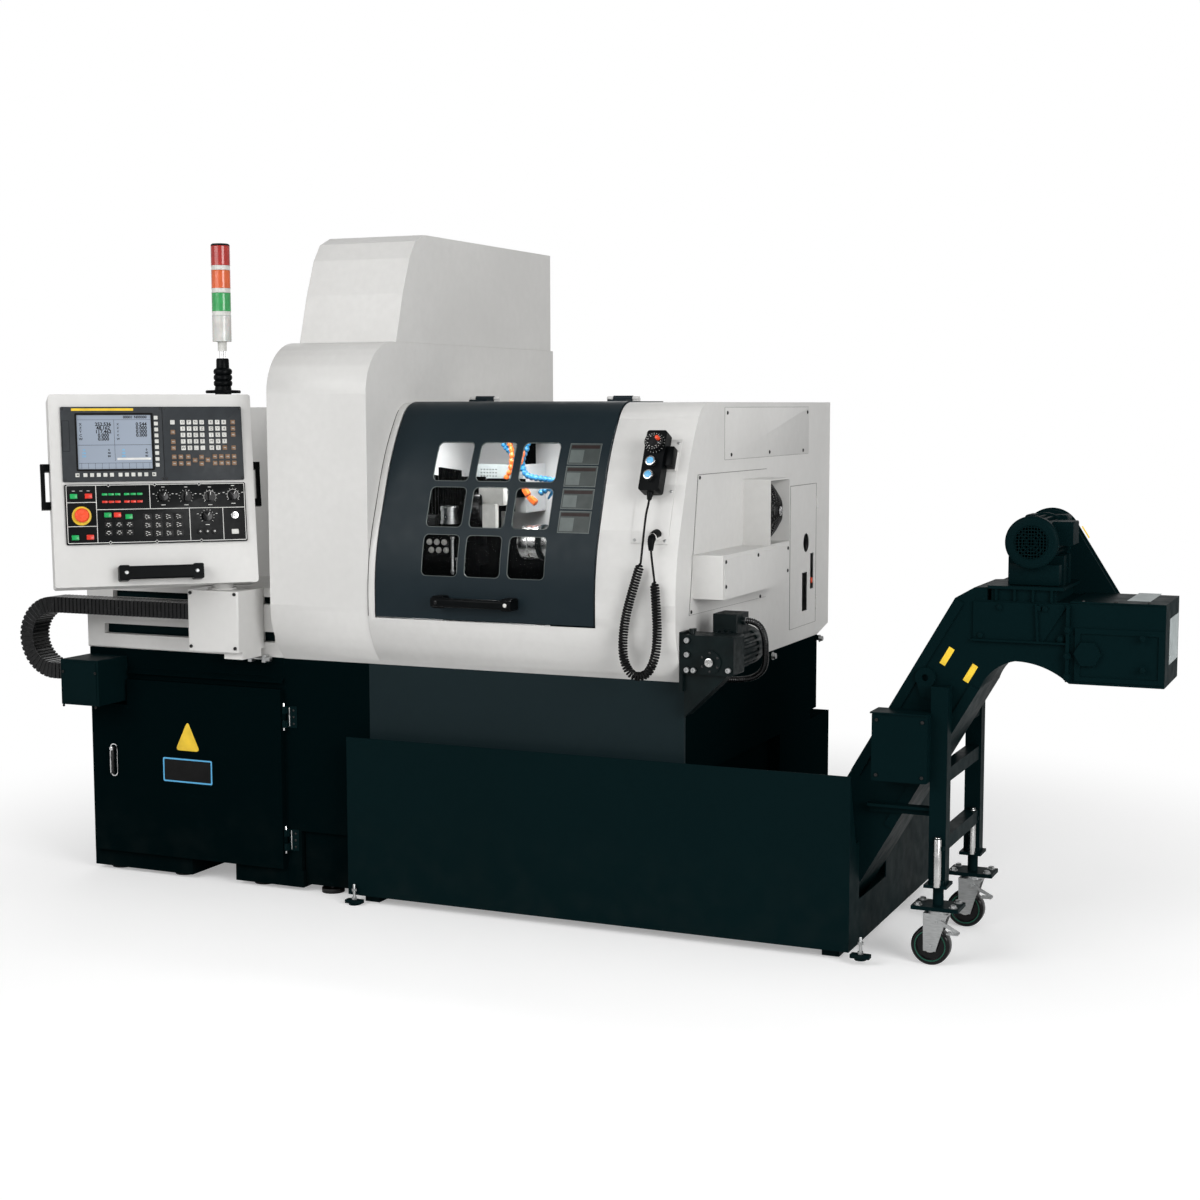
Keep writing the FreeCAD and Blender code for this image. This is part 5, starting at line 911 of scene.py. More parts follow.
class LATHE_OT_work_door(Maker):
    """Curved work door with its pane, nine window rims, handle and blank labels"""
    bl_idname = "lathe.work_door"
    bl_label = "Work door"

    def execute(self, context):
        self.tree = tree_of("work_door")
        dress("work_door", "door_grey")
        dress("door_pane", "window")
        dress("door_handle", "black_plastic", 1.0)
        self.rims()
        self.labels()
        self.handle()
        return {"FINISHED"}

    def lie(self, x, z, out):
        """Place over the door's skin, which has the same curve all along its width."""
        skin = on_skin(self.tree, PLAIN_COLUMN, z)
        normal = skin.to_3x3().col[2].normalized()
        return skin.translation + Vector((x - PLAIN_COLUMN, 0, 0)) * MM + normal * out * MM

    def ribbon(self, piece, outer, inner, low, high):
        """Ring between two outlines of (x, z), wrapped on the door, between two heights over its skin."""
        count = len(outer)
        offset = len(piece.points)
        for out in (low, high):
            for line in (outer, inner):
                piece.points += [self.lie(x, z, out) for x, z in line]
        for i in range(count):
            j = (i + 1) % count
            for face in ((2, 2, 3, 3), (0, 1, 1, 0), (0, 0, 2, 2), (1, 1, 3, 3)):
                ends = (i, j, j, i) if face[0] == face[1] else (i, i, j, j)
                piece.faces.append([offset + face[k] * count + ends[k] for k in range(4)])

    def rims(self):
        rims = Piece()
        for box in [(*column, *row) for column in WINDOW_COLUMNS for row in WINDOW_ROWS]:
            outer = soft_box(*grown(box, -0.4), WINDOW_RADIUS, 6)
            inner = soft_box(*grown(box, -1.6), WINDOW_RADIUS - 1.2, 6)
            self.ribbon(rims, self.dense(outer), self.dense(inner), -2.6, 0.5)
        rims.made("window_rims label_edge work_door steel", 30)

    def dense(self, outline):
        """Outline with its long upright sides cut in short runs, so that it follows the door's curve."""
        result = []
        for (x0, z0), (x1, z1) in zip(outline, outline[1:] + outline[:1]):
            steps = max(1, round(abs(z1 - z0) / 12))
            result += [(x0 + (x1 - x0) * s / steps, z0 + (z1 - z0) * s / steps) for s in range(steps)]
        return result

    def field(self, words, spans, low, high):
        """Thin fields, each (x0, x1, z0, z1), wrapped on the door between two heights over its skin."""
        piece = Piece()
        for x0, x1, z0, z1 in spans:
            rows = max(2, round((z1 - z0) / 8))
            offset = len(piece.points)
            for out in (low, high):
                for row in range(rows + 1):
                    for x in (x0, x1):
                        piece.points.append(self.lie(x, z0 + (z1 - z0) * row / rows, out))
            layer = 2 * (rows + 1)
            for row in range(rows):
                a = offset + 2 * row
                piece.faces += [[a + layer, a + layer + 1, a + layer + 3, a + layer + 2],
                                [a, a + 2, a + 3, a + 1], [a, a + layer, a + layer + 2, a + 2],
                                [a + 1, a + 3, a + layer + 3, a + layer + 1]]
            last = offset + 2 * rows
            piece.faces += [[offset, offset + 1, offset + layer + 1, offset + layer],
                            [last, last + layer, last + layer + 1, last + 1]]
        piece.made(words + " work_door grey_plastic", 30)

    def labels(self):
        """Blank labels: a plate, its field, a dark head and a pale cell."""
        spans = [(*LABEL_SIDES, *row) for row in LABEL_ROWS]
        heads = [(x0 + 5, x1 - 5, z1 - 14, z1 - 5) for x0, x1, z0, z1 in spans]
        cells = [(x0 + 5, (x0 + x1) / 2 - 2, z0 + 5, z1 - 18) for x0, x1, z0, z1 in spans]
        self.field("label_plates label_edge", spans, 0.1, 0.7)
        self.field("label_fields label_grey", [grown(span, -2) for span in spans], 0.5, 0.9)
        self.field("label_heads label_head", heads, 0.8, 1.1)
        self.field("label_cells label_edge", cells, 0.8, 1.05)

    def handle(self):
        low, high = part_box("door_handle")
        skin = tree_of("door_handle")
        middle = (low.z + high.z) / 2 / MM
        for index, (x, finish) in enumerate(((low.x + PLUG_INSET, "black_gloss"),
                                             (high.x - PLUG_INSET, "key_white"))):
            spot = on_skin(skin, (x - ORIGIN.x) / MM, middle)
            build("handle_plug_%d %s work_door black_plastic" % (index, finish),
                  (turned([(5.5, -1), (5.5, 1.2), (4, 2)], 20), spot))


# ---------------------------------------------------------------- control panel

UNIT_SPLIT = 316
SCREEN = (75, 285, 335, 493)
DESK_FRAME = (38.5, 542.5, 123.5, 290.5)
E_STOP = (79, 202)
START_KEYS = (("start_button", 151, 203, "green_key"), ("hold_button", 178, 203, "red_key"))
FIXED_KNOBS = [(309, 254), (509, 255), (432, 194)]
TURN_KNOBS, TURN_KNOB_TOP = [("mode_knob", 374, 253), ("feed_knob", 442, 252)], 23.3
SWITCH_SCALES = ((309, 254, False), (374, 253, False), (442, 252, True), (509, 255, True),
                 (432, 194, False))
LOWEST_SCALE = 200
KEY_SWITCH = (511, 196)
GLASS_LEVEL = 5.4
CAP_HEIGHT = 1.7
PANEL_FINISHES = (("panel_housing", "panel_white", 1.2), ("carriage", "cover_white", 1.0),
                  ("cnc_unit", "unit_grey", 0.5), ("operator_panel", "desk_black", 0.4),
                  ("panel_handles", "black_plastic", 1.0), ("e_stop_button", "stop_red", 1.2),
                  ("start_button", "green_key", 0.6), ("hold_button", "red_key", 0.6),
                  ("mode_knob feed_knob", "black_gloss", 0.6))
DISPLAY_ROWS = (("X", "252.536", "0.544"), ("Z", "48.162", "0.000"), ("Y", "117.462", "0.000"),
                ("C", "0.000", "0.000"), ("W", "0.000", ""))
SMALL_KEY_MARKS = ((0, 4, 8), (-5, -1, 4), (5, -1, 4), (0, -5, 3))
LARGE_KEY_MARKS = ((-3, 4.5, 6), (3, 2, 5), (-5, -1, 3), (4, -3.5, 6), (-3, -6, 4))
KEY_LETTERS = "OPNGR789XYZQV456CIJKL123FMSTW0.-HEDUBA"


def plastic(finish):
    """Slot of a coloured key's finish."""
    return finish.replace("_key", "_plastic")


class LATHE_OT_panel(Maker):
    """Control panel: faces, display, keys, lamps, marks and screws"""
    bl_idname = "lathe.panel"
    bl_label = "Control panel"

    def execute(self, context):
        screw = context.scene.lathe_fasteners.panel_screw
        for row in PANEL_FINISHES:
            dress(*row)
        self.faces()
        self.display()
        self.unit_keys()
        self.desk_lines()
        self.desk_keys()
        self.knobs()
        self.screws(screw)
        return {"FINISHED"}

    def faces(self):
        """Face plates of the operating unit and of the desk, which the keys stand on."""
        front = on_panel(0, 0)
        left = band(soft_box(32.5, UNIT_SPLIT - 0.8, 300.5, 515.5, 3), soft_box(*grown(SCREEN, 4), 3), 5.8,
                    UNIT_LEVEL)
        right = sheet(UNIT_SPLIT + 0.8, 543.5, 300.5, 515.5, 3, 5.8, UNIT_LEVEL, 0.5)
        build("unit_faces unit_grey panel grey_plastic", (left, front), (right, front))
        build("desk_face desk_black panel black_plastic",
              (sheet(34.5, 545.5, 119.5, 292.5, 4, 3.8, DESK_LEVEL, 0.5), front))
        build("card_door_edge mark_black panel black_plastic",
              (rim((34.5, 55, 387, 476), 1.1, 2, 1.2, 0, 0.25), on_face(0, 0)))

    def display(self):
        """Bezel, glass and the generic figures of the display, and the yellow strip over it."""
        a0, a1, b0, b1 = SCREEN
        build("display_bezel mark_black panel black_plastic",
              (rim(grown(SCREEN, 4.5), 5.5, 4, 2, 3, UNIT_LEVEL + 0.5), on_panel(0, 0)))
        build("display_glass display panel light_plastic",
              (sheet(*SCREEN, 2, 4.2, GLASS_LEVEL), on_panel(0, 0)))
        marks, blue = Piece(), Piece()

        def figures(piece, text, a, b, size):
            piece.add(lettered(text, size, 0.05, size * 0.03), on_panel(a, b, GLASS_LEVEL + 0.1))

        for row, (letter, left, right) in enumerate(DISPLAY_ROWS):
            b = b1 - 28 - row * 10.6
            for text, a, size in ((left, 74, 14), (right, 181, 14), (letter, 11, 10), (letter, 115, 8)):
                if text:
                    figures(marks, text, a0 + a, b, size)
        for row in range(3):
            b = b0 + 56 - row * 9
            for a in (a0 + 18, a0 + 128):
                figures(blue, "%d" % (row * 120 + 10), a, b, 7)
            for a in (a0 + 88, a0 + 193):
                figures(marks, "%d" % (row * 40), a, b, 8)
        figures(marks, "00001 N00000", a1 - 46, b1 - 7.5, 11)
        lines = [(a0 + 3, a1 - 3, b1 - 15, b1 - 14.3), (a0 + 3, a1 - 3, b0 + 70, b0 + 71),
                 (a0 + 104, a0 + 104.8, b0 + 24, b1 - 15), (a0 + 3, a1 - 3, b0 + 18, b0 + 18.8)]
        lines += [(a0 + 10 + index * 19, a0 + 10.7 + index * 19, b0 + 2, b0 + 18) for index in range(11)]
        glass = on_panel(0, 0, GLASS_LEVEL)
        for line in lines:
            marks.add(slab(*line, 0, 0.1, 0), glass)
        marks.made("display_figures mark_black panel light_plastic")
        blue.made("display_figures_blue frame_blue panel light_plastic")
        build("display_field mark_white panel light_plastic",
              (slab(a0 + 110, a1 - 5, b0 + 27, b0 + 33, 0, 0.12, 0), glass))
        build("unit_strip signal_yellow panel light_plastic",
              (sheet(62, 235, 504, 511, 1, 0, 0.3), on_face(0, 0)))

    def cap(self, size):
        """Square key cap."""
        half = size / 2
        return slab(-half, half, -half, half, 0, CAP_HEIGHT, min(1.0, size * 0.09))

    def unit_keys(self):
        """Key caps of the operating unit, with their figures."""
        white, tan, marks, pale = Piece(), Piece(), Piece(), Piece()
        cap, top = self.cap(13), CAP_HEIGHT + 0.05
        letters = iter(KEY_LETTERS)
        for row, b in enumerate((469.6, 451, 432.4, 413.6, 394.6)):
            for column, a in enumerate((372.8, 391.2, 409.6, 428.1, 454.1, 472.9, 491.7)):
                if row == 4 and column > 5:
                    continue
                white.add(cap, on_face(a, b))
                marks.add(lettered(next(letters), 10, 0.05), on_face(a, b, top))
        tans = [(344.3, 441), (344.3, 413), (344.3, 394.6), (517.8, 469.4), (517.6, 451), (517.4, 433),
                (517, 394), (491.7, 394.6), (404.3, 358.4), (441, 359), (423.2, 367.4), (422.8, 348.2)]
        tans += [(a, b) for a in (345, 364, 385, 461.5, 480, 498.5, 517) for b in (368.6, 349.4)]
        for a, b in tans:
            tan.add(cap, on_face(a, b))
            pale.add(dash(0, 0, 6.8, 2, 0.1), on_face(a, b, top))
        white.add(cap, on_face(344.3, 469.8))
        small = self.cap(11)
        soft = [(297.4, 346.1 + 17.14 * index) for index in range(9)]
        soft += [(a, 319) for a in (72.2, 94.3, 112.7, 131.1, 149.5, 167.8, 191.6, 209.6, 227.7, 245.8, 263.8,
                                    286.5)]
        for a, b in soft:
            white.add(small, on_face(a, b))
        for a, way in ((72.2, 1), (286.5, -1)):
            marks.add(plate([(-3 * way, 0), (3 * way, -3 * way), (3 * way, 3 * way)], 0, 0.1),
                      on_face(a, 319, top))
        white.made("unit_keys_white key_white panel light_plastic")
        tan.made("unit_keys_tan key_tan panel light_plastic")
        marks.made("key_figures mark_black panel black_plastic")
        pale.made("key_marks_pale label_pale panel light_plastic")

    def desk_lines(self):
        """White frame and dividing lines of the desk, with the notches round its screws."""
        a0, a1, b0, b1 = DESK_FRAME
        level = on_desk(0, 0)
        lines = Piece().add(rim(DESK_FRAME, 1.8, 4, 2.2, 0, 0.25), level)
        for line in ((120.2, 122, b0, b1), (270.2, 272, 219.5, b1), (381, 382.8, b0, 219.5),
                     (476.5, 478.3, b0, 219.5), (a0, 121, 240, 241.8), (a0, 121, 171.5, 173.3),
                     (121, a1, 218.6, 220.4)):
            lines.add(slab(*line, 0, 0.25, 0), level)
        for a in (156, 286, 412):
            for b in (b0 + 0.9, b1 - 0.9):
                lines.add(turned([(5.6, 0), (5.6, 0.32)], 4), on_desk(a, b))
        lines.made("desk_lines mark_white panel light_plastic")

    def desk_keys(self):
        """Keys, lamps, emergency stop's ring and key switch of the desk, with plain marks."""
        fixed = {"green_key": [(59, 258.5), (59.5, 140.5), (210, 197.8)],
                 "red_key": [(100, 258.8), (100.5, 141)]}
        for finish, spots in fixed.items():
            build("desk_%s %s panel %s" % (finish, finish, plastic(finish)),
                  (slab(-10, 10, -7, 7, 0, 4.5, 1.0), *[on_desk(*spot) for spot in spots]))
        wells = Piece()
        for name, a, b, finish in START_KEYS:
            cap = build("%s_cap %s %s %s" % (name, finish, name, plastic(finish)),
                        (slab(-10, 10, -7, 7, 4.2, 7.4, 1.0), on_desk(a, b)))
            wells.add(rim((-11.4, 11.4, -8.4, 8.4), 1.1, 1.5, 0.8, 0, 4.8), on_desk(a, b))
            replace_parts(cap, name)
        wells.made("key_wells desk_black panel black_plastic")
        for finish, b in (("green_key", 263), ("red_key", 241.5)):
            spots = [on_desk(a, b) for a in (144.8, 163, 181.2, 206.6, 224.8, 243)]
            build("desk_lamps_%s %s panel %s" % (finish, finish, plastic(finish)),
                  (slab(-7.6, 7.6, -3.2, 3.2, 0, 1.4, 0.5), *spots))
        keys, marks = Piece(), Piece()
        small = [(a, b) for a in (152, 181.5, 210.5) for b in (175.5, 152.5)]
        large = [(261.5 + column * 29.4, 148.5 + row * 24) for column in range(4) for row in range(3)]
        for spots, cap, lines in ((small, (-10, 10, -8, 8), SMALL_KEY_MARKS),
                                  (large, (-12, 12, -9.5, 9.5), LARGE_KEY_MARKS)):
            for a, b in spots:
                keys.add(slab(*cap, 0, 2.6, 0.8), on_desk(a, b))
                for line in lines:
                    marks.add(dash(*line), on_desk(a, b, 2.6))
        for a in (410, 431, 451):
            keys.add(turned([(7.5, 0), (7.5, 3), (6.5, 4)], 24), on_desk(a, 150.5))
            marks.add(dash(0, 0, 6), on_desk(a, 150.5, 4)).add(dash(0, 0, 1.6, 6), on_desk(a, 150.5, 4))
        marks.add(dash(0, 0, 8, 1.4), *[on_desk(a, 274) for a in (59, 80, 100)])
        keys.made("desk_keys key_dark panel black_plastic")
        marks.made("desk_key_marks mark_white panel light_plastic")
        build("stop_ring signal_yellow panel light_plastic",
              (turned([(27, -2), (27, 4.4), (25, 5.4), (20.5, 5.4)], 48), on_desk(*E_STOP)))
        build("white_button key_white panel light_plastic",
              (slab(-10, 10, -7, 7, 0, 5, 1), on_desk(510, 148)))
        build("key_switch chrome panel chrome",
              (turned([(11, 0), (11, 5), (9.5, 6.5), (3, 6.8)], 32), on_desk(*KEY_SWITCH)))
        # Raised black bar on the key switch: painted shade standing in for the depth of its key slot.
        build("key_slot mark_black panel black_plastic",
              (slab(-1.3, 1.3, -6, 6, 6, 7.4, 0.2), on_desk(*KEY_SWITCH)))

    def knobs(self):
        """Caps and pointers of the rotary switches, and the scales round them."""
        flutes = [spoke(13.6 if step % 4 < 2 else 12.6, 2 * math.pi * step / 48) for step in range(48)]
        fixed = [on_desk(*spot) for spot in FIXED_KNOBS]
        build("switch_knobs black_gloss panel black_plastic", (plate(flutes, 0, 11.2, 1.0), *fixed))
        aside = [spot @ Matrix.Rotation(-0.5, 4, "Z") for spot in fixed]
        build("switch_pointers mark_white panel light_plastic",
              (slab(-0.8, 0.8, 2, 12.5, 11.2, 11.5, 0), *aside))
        for name, a, b in TURN_KNOBS:
            build("%s_pointer mark_white %s light_plastic" % (name, name),
                  (slab(-0.8, 0.8, 2, 12, 0, 0.3, 0), on_panel(a, b, TURN_KNOB_TOP)))
        scales = Piece()
        for a, b, has_arc in SWITCH_SCALES:
            spot = on_desk(a, b)
            for step in range(11):
                reach = 2.2 if step % 2 else 3.6
                turn = Matrix.Rotation(math.radians(-40 + 26 * step), 4, "Z")
                scales.add(slab(18, 18 + reach, -0.6, 0.6, 0, 0.2, 0), spot @ turn)
            if has_arc:
                arc = [(17.4, t) for t in range(-40, 221, 10)] + [(16.5, t) for t in range(220, -41, -10)]
                scales.add(plate([spoke(r, math.radians(t)) for r, t in arc], 0, 0.2), spot)
            for line in ((-27, 8, 5), (27, 8, 5), (0, 28, 9), (0, -24, 12)):
                if b > LOWEST_SCALE or line[1] < 20:
                    scales.add(dash(*line, 1.8, 0.2), spot)
        scales.made("switch_scales mark_white panel light_plastic")

    def screws(self, screw):
        places = [(a, b) for a in (38, 310, 322, 538) for b in (510, 306)]
        build("unit_screws dark_screw panel steel", (dome_screw(screw, 1.4), *[on_face(*p) for p in places]))
        places = [(a, b) for a in (156, 286, 412) for b in (124.4, 289.6)]
        build("desk_screws dark_screw panel steel",
              (dome_screw(screw, 1.4), *[on_desk(*p, 0.3) for p in places]))
        tree = tree_of("panel_handles")
        spots = [on_panel_skin(tree, a, 34.4) for a in (193.5, 392)]
        build("panel_handle_screws zinc panel steel", (socket_screw(5.2, 2.4), *spots))
        corners = [(-471, 900), (-317, 900), (-471, 742), (-317, 742)]
        build("carriage_screws dark_screw carriage steel",
              (socket_screw(5, 4), *[seat(x, -136, z) for x, z in corners]))


class LATHE_OT_tower_light(Maker):
    """Tower light with ribbed lenses"""
    bl_idname = "lathe.tower_light"
    bl_label = "Tower light"

    LENSES = (("lens_white", 1633, 1709), ("lens_green", 1721, 1775), ("lens_orange", 1788, 1841),
              ("lens_red", 1854, 1912))

    def execute(self, context):
        low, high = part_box("tower_light")
        axis = Matrix.Translation(((low.x + high.x) / 2, (low.y + high.y) / 2, 0)) @ Matrix.Scale(MM, 4)
        for name, start, end in self.LENSES:
            profile, ribs = [(26.5, start), (28, start + 1)], 16
            step = (end - start - 4) / ribs
            for rib in range(ribs):
                profile += [(28, start + 2 + step * rib), (27.3, start + 2 + step * (rib + 0.5))]
            profile += [(28, end - 1), (26.5, end)]
            build("tower_%s %s panel lens" % (name, name), (turned(profile, 48), axis), smooth=50)
        collars = Piece()
        for below, above in zip(self.LENSES, self.LENSES[1:]):
            z0, z1 = below[2] - 0.4, above[1] + 0.4
            collars.add(turned([(26, z0), (27.6, z0 + 0.6), (27.6, z0 + 3), (26.8, z0 + 3.6),
                                (26.8, z1 - 3.6), (27.6, z1 - 3), (27.6, z1 - 0.6), (26, z1)], 48), axis)
        collars.add(turned([(13, 1606), (13, 1630), (16, 1633.4)], 32), axis)
        collars.made("tower_collars key_white panel light_plastic", 50)
        build("tower_cap cast_black panel black_plastic",
              (turned([(27.6, 1911.6), (27.6, 1914), (24, 1917.5), (8, 1918.5)], 48), axis), smooth=50)
        rods = [axis @ Matrix.Translation((side, 0, 0)) for side in (-6.5, 6.5)]
        build("tower_rods chrome panel chrome", (turned([(3, 1578), (3, 1607)], 16), *rods))
        foot = low.z / MM
        boot = [(22, foot), (24, foot + 18), (50, foot + 18), (51, foot + 20), (51, foot + 25),
                (49, foot + 27), (25, foot + 28), (23, foot + 38)]
        for fold in range(3):
            z = foot + 40 + fold * 17
            boot += [(26.5, z + 2), (27.5, z + 9), (25.5, z + 14), (23, z + 16)]
        boot += [(19, 1556), (18.5, 1580), (16, 1584), (10, 1584)]
        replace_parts(build("tower_foot black_plastic panel black_plastic", (turned(boot, 48), axis),
                          smooth=35), "tower_light")
        return {"FINISHED"}


# ---------------------------------------------------------------- chain, hand wheel unit


class LATHE_OT_chain(Maker):
    """Energy chain and its junction box"""
    bl_idname = "lathe.chain"
    bl_label = "Energy chain"

    def execute(self, context):
        dress("cable_chain", "chain_black", 1.2, 25)
        dress("chain_junction_box", "base_dark", 1.0)
        places = [(-940, 642), (-820, 642), (-940, 538), (-820, 538)]
        build("junction_screws dark_screw machine steel",
              (socket_screw(4, 3), *[seat(x, -142, z) for x, z in places]))
        return {"FINISHED"}


UNIT_FACE, DIAL_UP, DIAL_RISE = 41.3, 48, 14
KNOB_SPOTS = (("upper", -8), ("lower", -47))
PLATE_SCREWS = ((905, 1343), (993, 1343), (993, 1215), (905, 1086), (993, 1086))
GLAND_ROUTE = [(970, -50, 1104), (970, -66, 1102), (970, -84, 1097), (970, -93, 1084), (971, -95, 1062)]
GLAND_STEPS = 40


class LATHE_OT_hand_wheel(Maker):
    """Hand wheel unit: dial with its scale, two knobs, bracket and plate"""
    bl_idname = "lathe.hand_wheel"
    bl_label = "Hand wheel unit"

    def execute(self, context):
        dress("mpg_body", "black_plastic", 0.8)
        dress("mpg_plate", "cover_white", 0.5)
        dress("mpg_dial", "black_gloss", 0.8)
        dress("mpg_knob_upper mpg_knob_lower", "chrome", 0.5)
        tree = tree_of("mpg_plate")
        screws = [on_skin(tree, x, z) for x, z in PLATE_SCREWS]
        build("hand_wheel_plate_screws zinc machine steel", (dome_screw(4.2, 2.6), *screws))
        self.dial()
        self.knobs()
        build("unit_bracket black_plastic machine black_plastic",
              (slab(28, 51, -11, 45, -3.5, 27, 2), self.face(0, 0)))
        line, _ = smooth_line(GLAND_ROUTE, GLAND_STEPS)
        radii = []
        for index in range(len(line)):
            share = index / GLAND_STEPS
            waist = 1.5 if 0.42 < share < 0.5 else 0
            radii.append((12.6 - 6.8 * share * share - waist + (0.6 if index % 3 == 0 else 0)) * MM)
        build("wall_gland black_plastic machine black_plastic", (swept(line, radii, 24), IN_METRES),
              smooth=50)
        boots = Piece()
        for index in range(6):
            radius = 8.6 - index * 0.5
            boots.add(turned([(5.2, 0), (radius, 0.6), (radius, 2.2), (5.2, 2.8)], 20),
                      SCALE @ Matrix.Translation(below_unit(2 + index * 3.0)) @ self.lean())
        boots.made("cord_boot rubber_black machine rubber")
        return {"FINISHED"}

    def dial(self):
        """Dial's scale round its edge and on its face, its numbers and its crank."""
        marks, numbers = Piece(), Piece()
        edge, face = self.face(UNIT_FACE - 0.3, DIAL_UP), self.face(UNIT_FACE + DIAL_RISE, DIAL_UP)
        for step in range(20):
            turn = Matrix.Rotation(2 * math.pi * step / 20, 4, "Z")
            marks.add(slab(25.6, 28.4 if step % 5 else 28.8, -0.4, 0.4, 0, 0.3, 0), edge @ turn)
            marks.add(slab(20.5, 23, -0.4, 0.4, 0, 0.25, 0), face @ turn)
        for step in range(10):
            spot = spoke(16.5, math.radians(90 - 36 * step))
            numbers.add(lettered("%d" % (step * 10), 4.2, 0.12), face @ Matrix.Translation((*spot, 0)))
        marks.made("dial_scale mark_white mpg_dial light_plastic")
        numbers.made("dial_numbers mark_white mpg_dial light_plastic")
        build("dial_crank stop_red mpg_dial red_plastic",
              (turned([(5.4, 0), (5.4, 11), (4.6, 12.6), (2, 13.2)], 24),
               self.face(UNIT_FACE + DIAL_RISE, 55) @ Matrix.Translation((13, 0, 0))))

    def knobs(self):
        """Fluted grip, plated rim and blue cap of each knob."""
        ribs = [spoke(13.7 if step % 2 else 12.9, 2 * math.pi * step / 60) for step in range(60)]
        edge = [(13.3, 14.8), (13.3, 17.4), (12.2, 18.2), (10, 18.2), (10, 17), (0.01, 17)]
        cap = [(9.9, 16.5), (9.9, 18.6), (8.6, 19.4)]
        for name, up in KNOB_SPOTS:
            knob, body = self.face(UNIT_DEEP, up), "mpg_knob_" + name
            build("knob_grip_%s bright_steel %s steel" % (name, body), (plate(ribs, 0.4, 15.0, 0.3), knob),
                  smooth=30)
            build("knob_rim_%s chrome %s steel" % (name, body), (turned(edge, 40), knob))
            build("knob_cap_%s cap_blue %s hose_blue" % (name, body), (turned(cap, 32), knob))

    def lean(self):
        """Turn whose Z runs down the unit."""
        return facing_along(ACROSS, (-SKIN_UP).cross(ACROSS), -SKIN_UP)

    def face(self, out, up):
        """Seat on the unit's front at a distance out of its back and up its middle line."""
        return SCALE @ Matrix.Translation(on_unit(0, out, up)) @ facing_along(ACROSS, SKIN_UP, SKIN_OUT)


# ---------------------------------------------------------------- cabinet, base, side


HINGE_SPANS = ((124, 188), (495, 559))
HINGE_X, HINGE_Y = -236, -12
DOOR_FACE = -20.2
TRIANGLE, TRIANGLE_ROUND = ((-622, 402), (-533, 402), (-576, 494)), 15


class LATHE_OT_cabinet(Maker):
    """Electrical cabinet, its door with the plain triangle and frame, hinges and latch"""
    bl_idname = "lathe.cabinet"
    bl_label = "Electrical cabinet"

    def execute(self, context):
        # The cabinet and its door take the frame's paint, which is darker than the base paint partly as
        # painted shade.
        dress("electrical_cabinet cabinet_door", "frame_dark", 1.0)
        dress("cabinet_hinges", "base_dark", 0.5)
        dress("cabinet_latch", "dark_screw", 0.6)
        dress("cabinet_equipment", "grip_grey", 0.8)
        face = seat(0, DOOR_FACE, 0)
        build("cabinet_triangle signal_yellow cabinet_door light_plastic",
              (plate(self.soft_triangle(), 0, 1.0, 0.3), face))
        build("badge_ground mark_black cabinet_door black_plastic",
              (sheet(-670, -489, 302, 378, 4, 0, 0.7, 0.2), face))
        build("badge_frame frame_blue cabinet_door light_plastic",
              (rim((-669, -490, 303, 377), 4.5, 5, 3, 0.5, 1.1), face))
        build("latch_rim chrome cabinet_door chrome",
              (rim((-864.5, -837.5, 304.5, 406.5), 3, 13, 10, 0, 2.6), seat(0, -22, 0)))
        build("latch_button chrome cabinet_latch chrome",
              (turned([(6, 0), (6, 3), (4.5, 4.2)], 24), seat(-851, -36, 392)))
        build("latch_glint chrome cabinet_latch chrome",
              (slab(-9, -5, -34, 34, 0, 1.2, 0.5), seat(-848, -35.8, 350)))
        pins, screws = Piece(), []
        for z0, z1 in HINGE_SPANS:
            pins.add(turned([(3.6, 0), (3.6, z1 - z0 + 16), (2.6, z1 - z0 + 18)], 20),
                     Matrix.Translation(place(HINGE_X, HINGE_Y, z0 - 8)) @ Matrix.Scale(MM, 4))
            pins.add(slab(-2, 2, z0 + 4, z1 - 4, 0, 1.4, 0.4), seat(-222, -4, 0))
            screws += [seat(-208, -4, z) for z in (z0 + 12, (z0 + z1) / 2, z1 - 12)]
        pins.made("hinge_pins chrome machine chrome")
        build("hinge_screws dark_screw machine chrome", (dome_screw(4, 2.4), *screws))
        return {"FINISHED"}

    def soft_triangle(self):
        """Plain triangle with round corners, anticlockwise."""
        corners, points = [Vector(corner) for corner in TRIANGLE], []
        for index, corner in enumerate(corners):
            before, after = corners[index - 1], corners[(index + 1) % 3]
            start, end = (corner + (other - corner).normalized() * TRIANGLE_ROUND
                          for other in (before, after))
            for step in range(7):
                t = step / 6
                points.append(tuple(start * (1 - t) ** 2 + corner * 2 * t * (1 - t) + end * t * t))
        return points


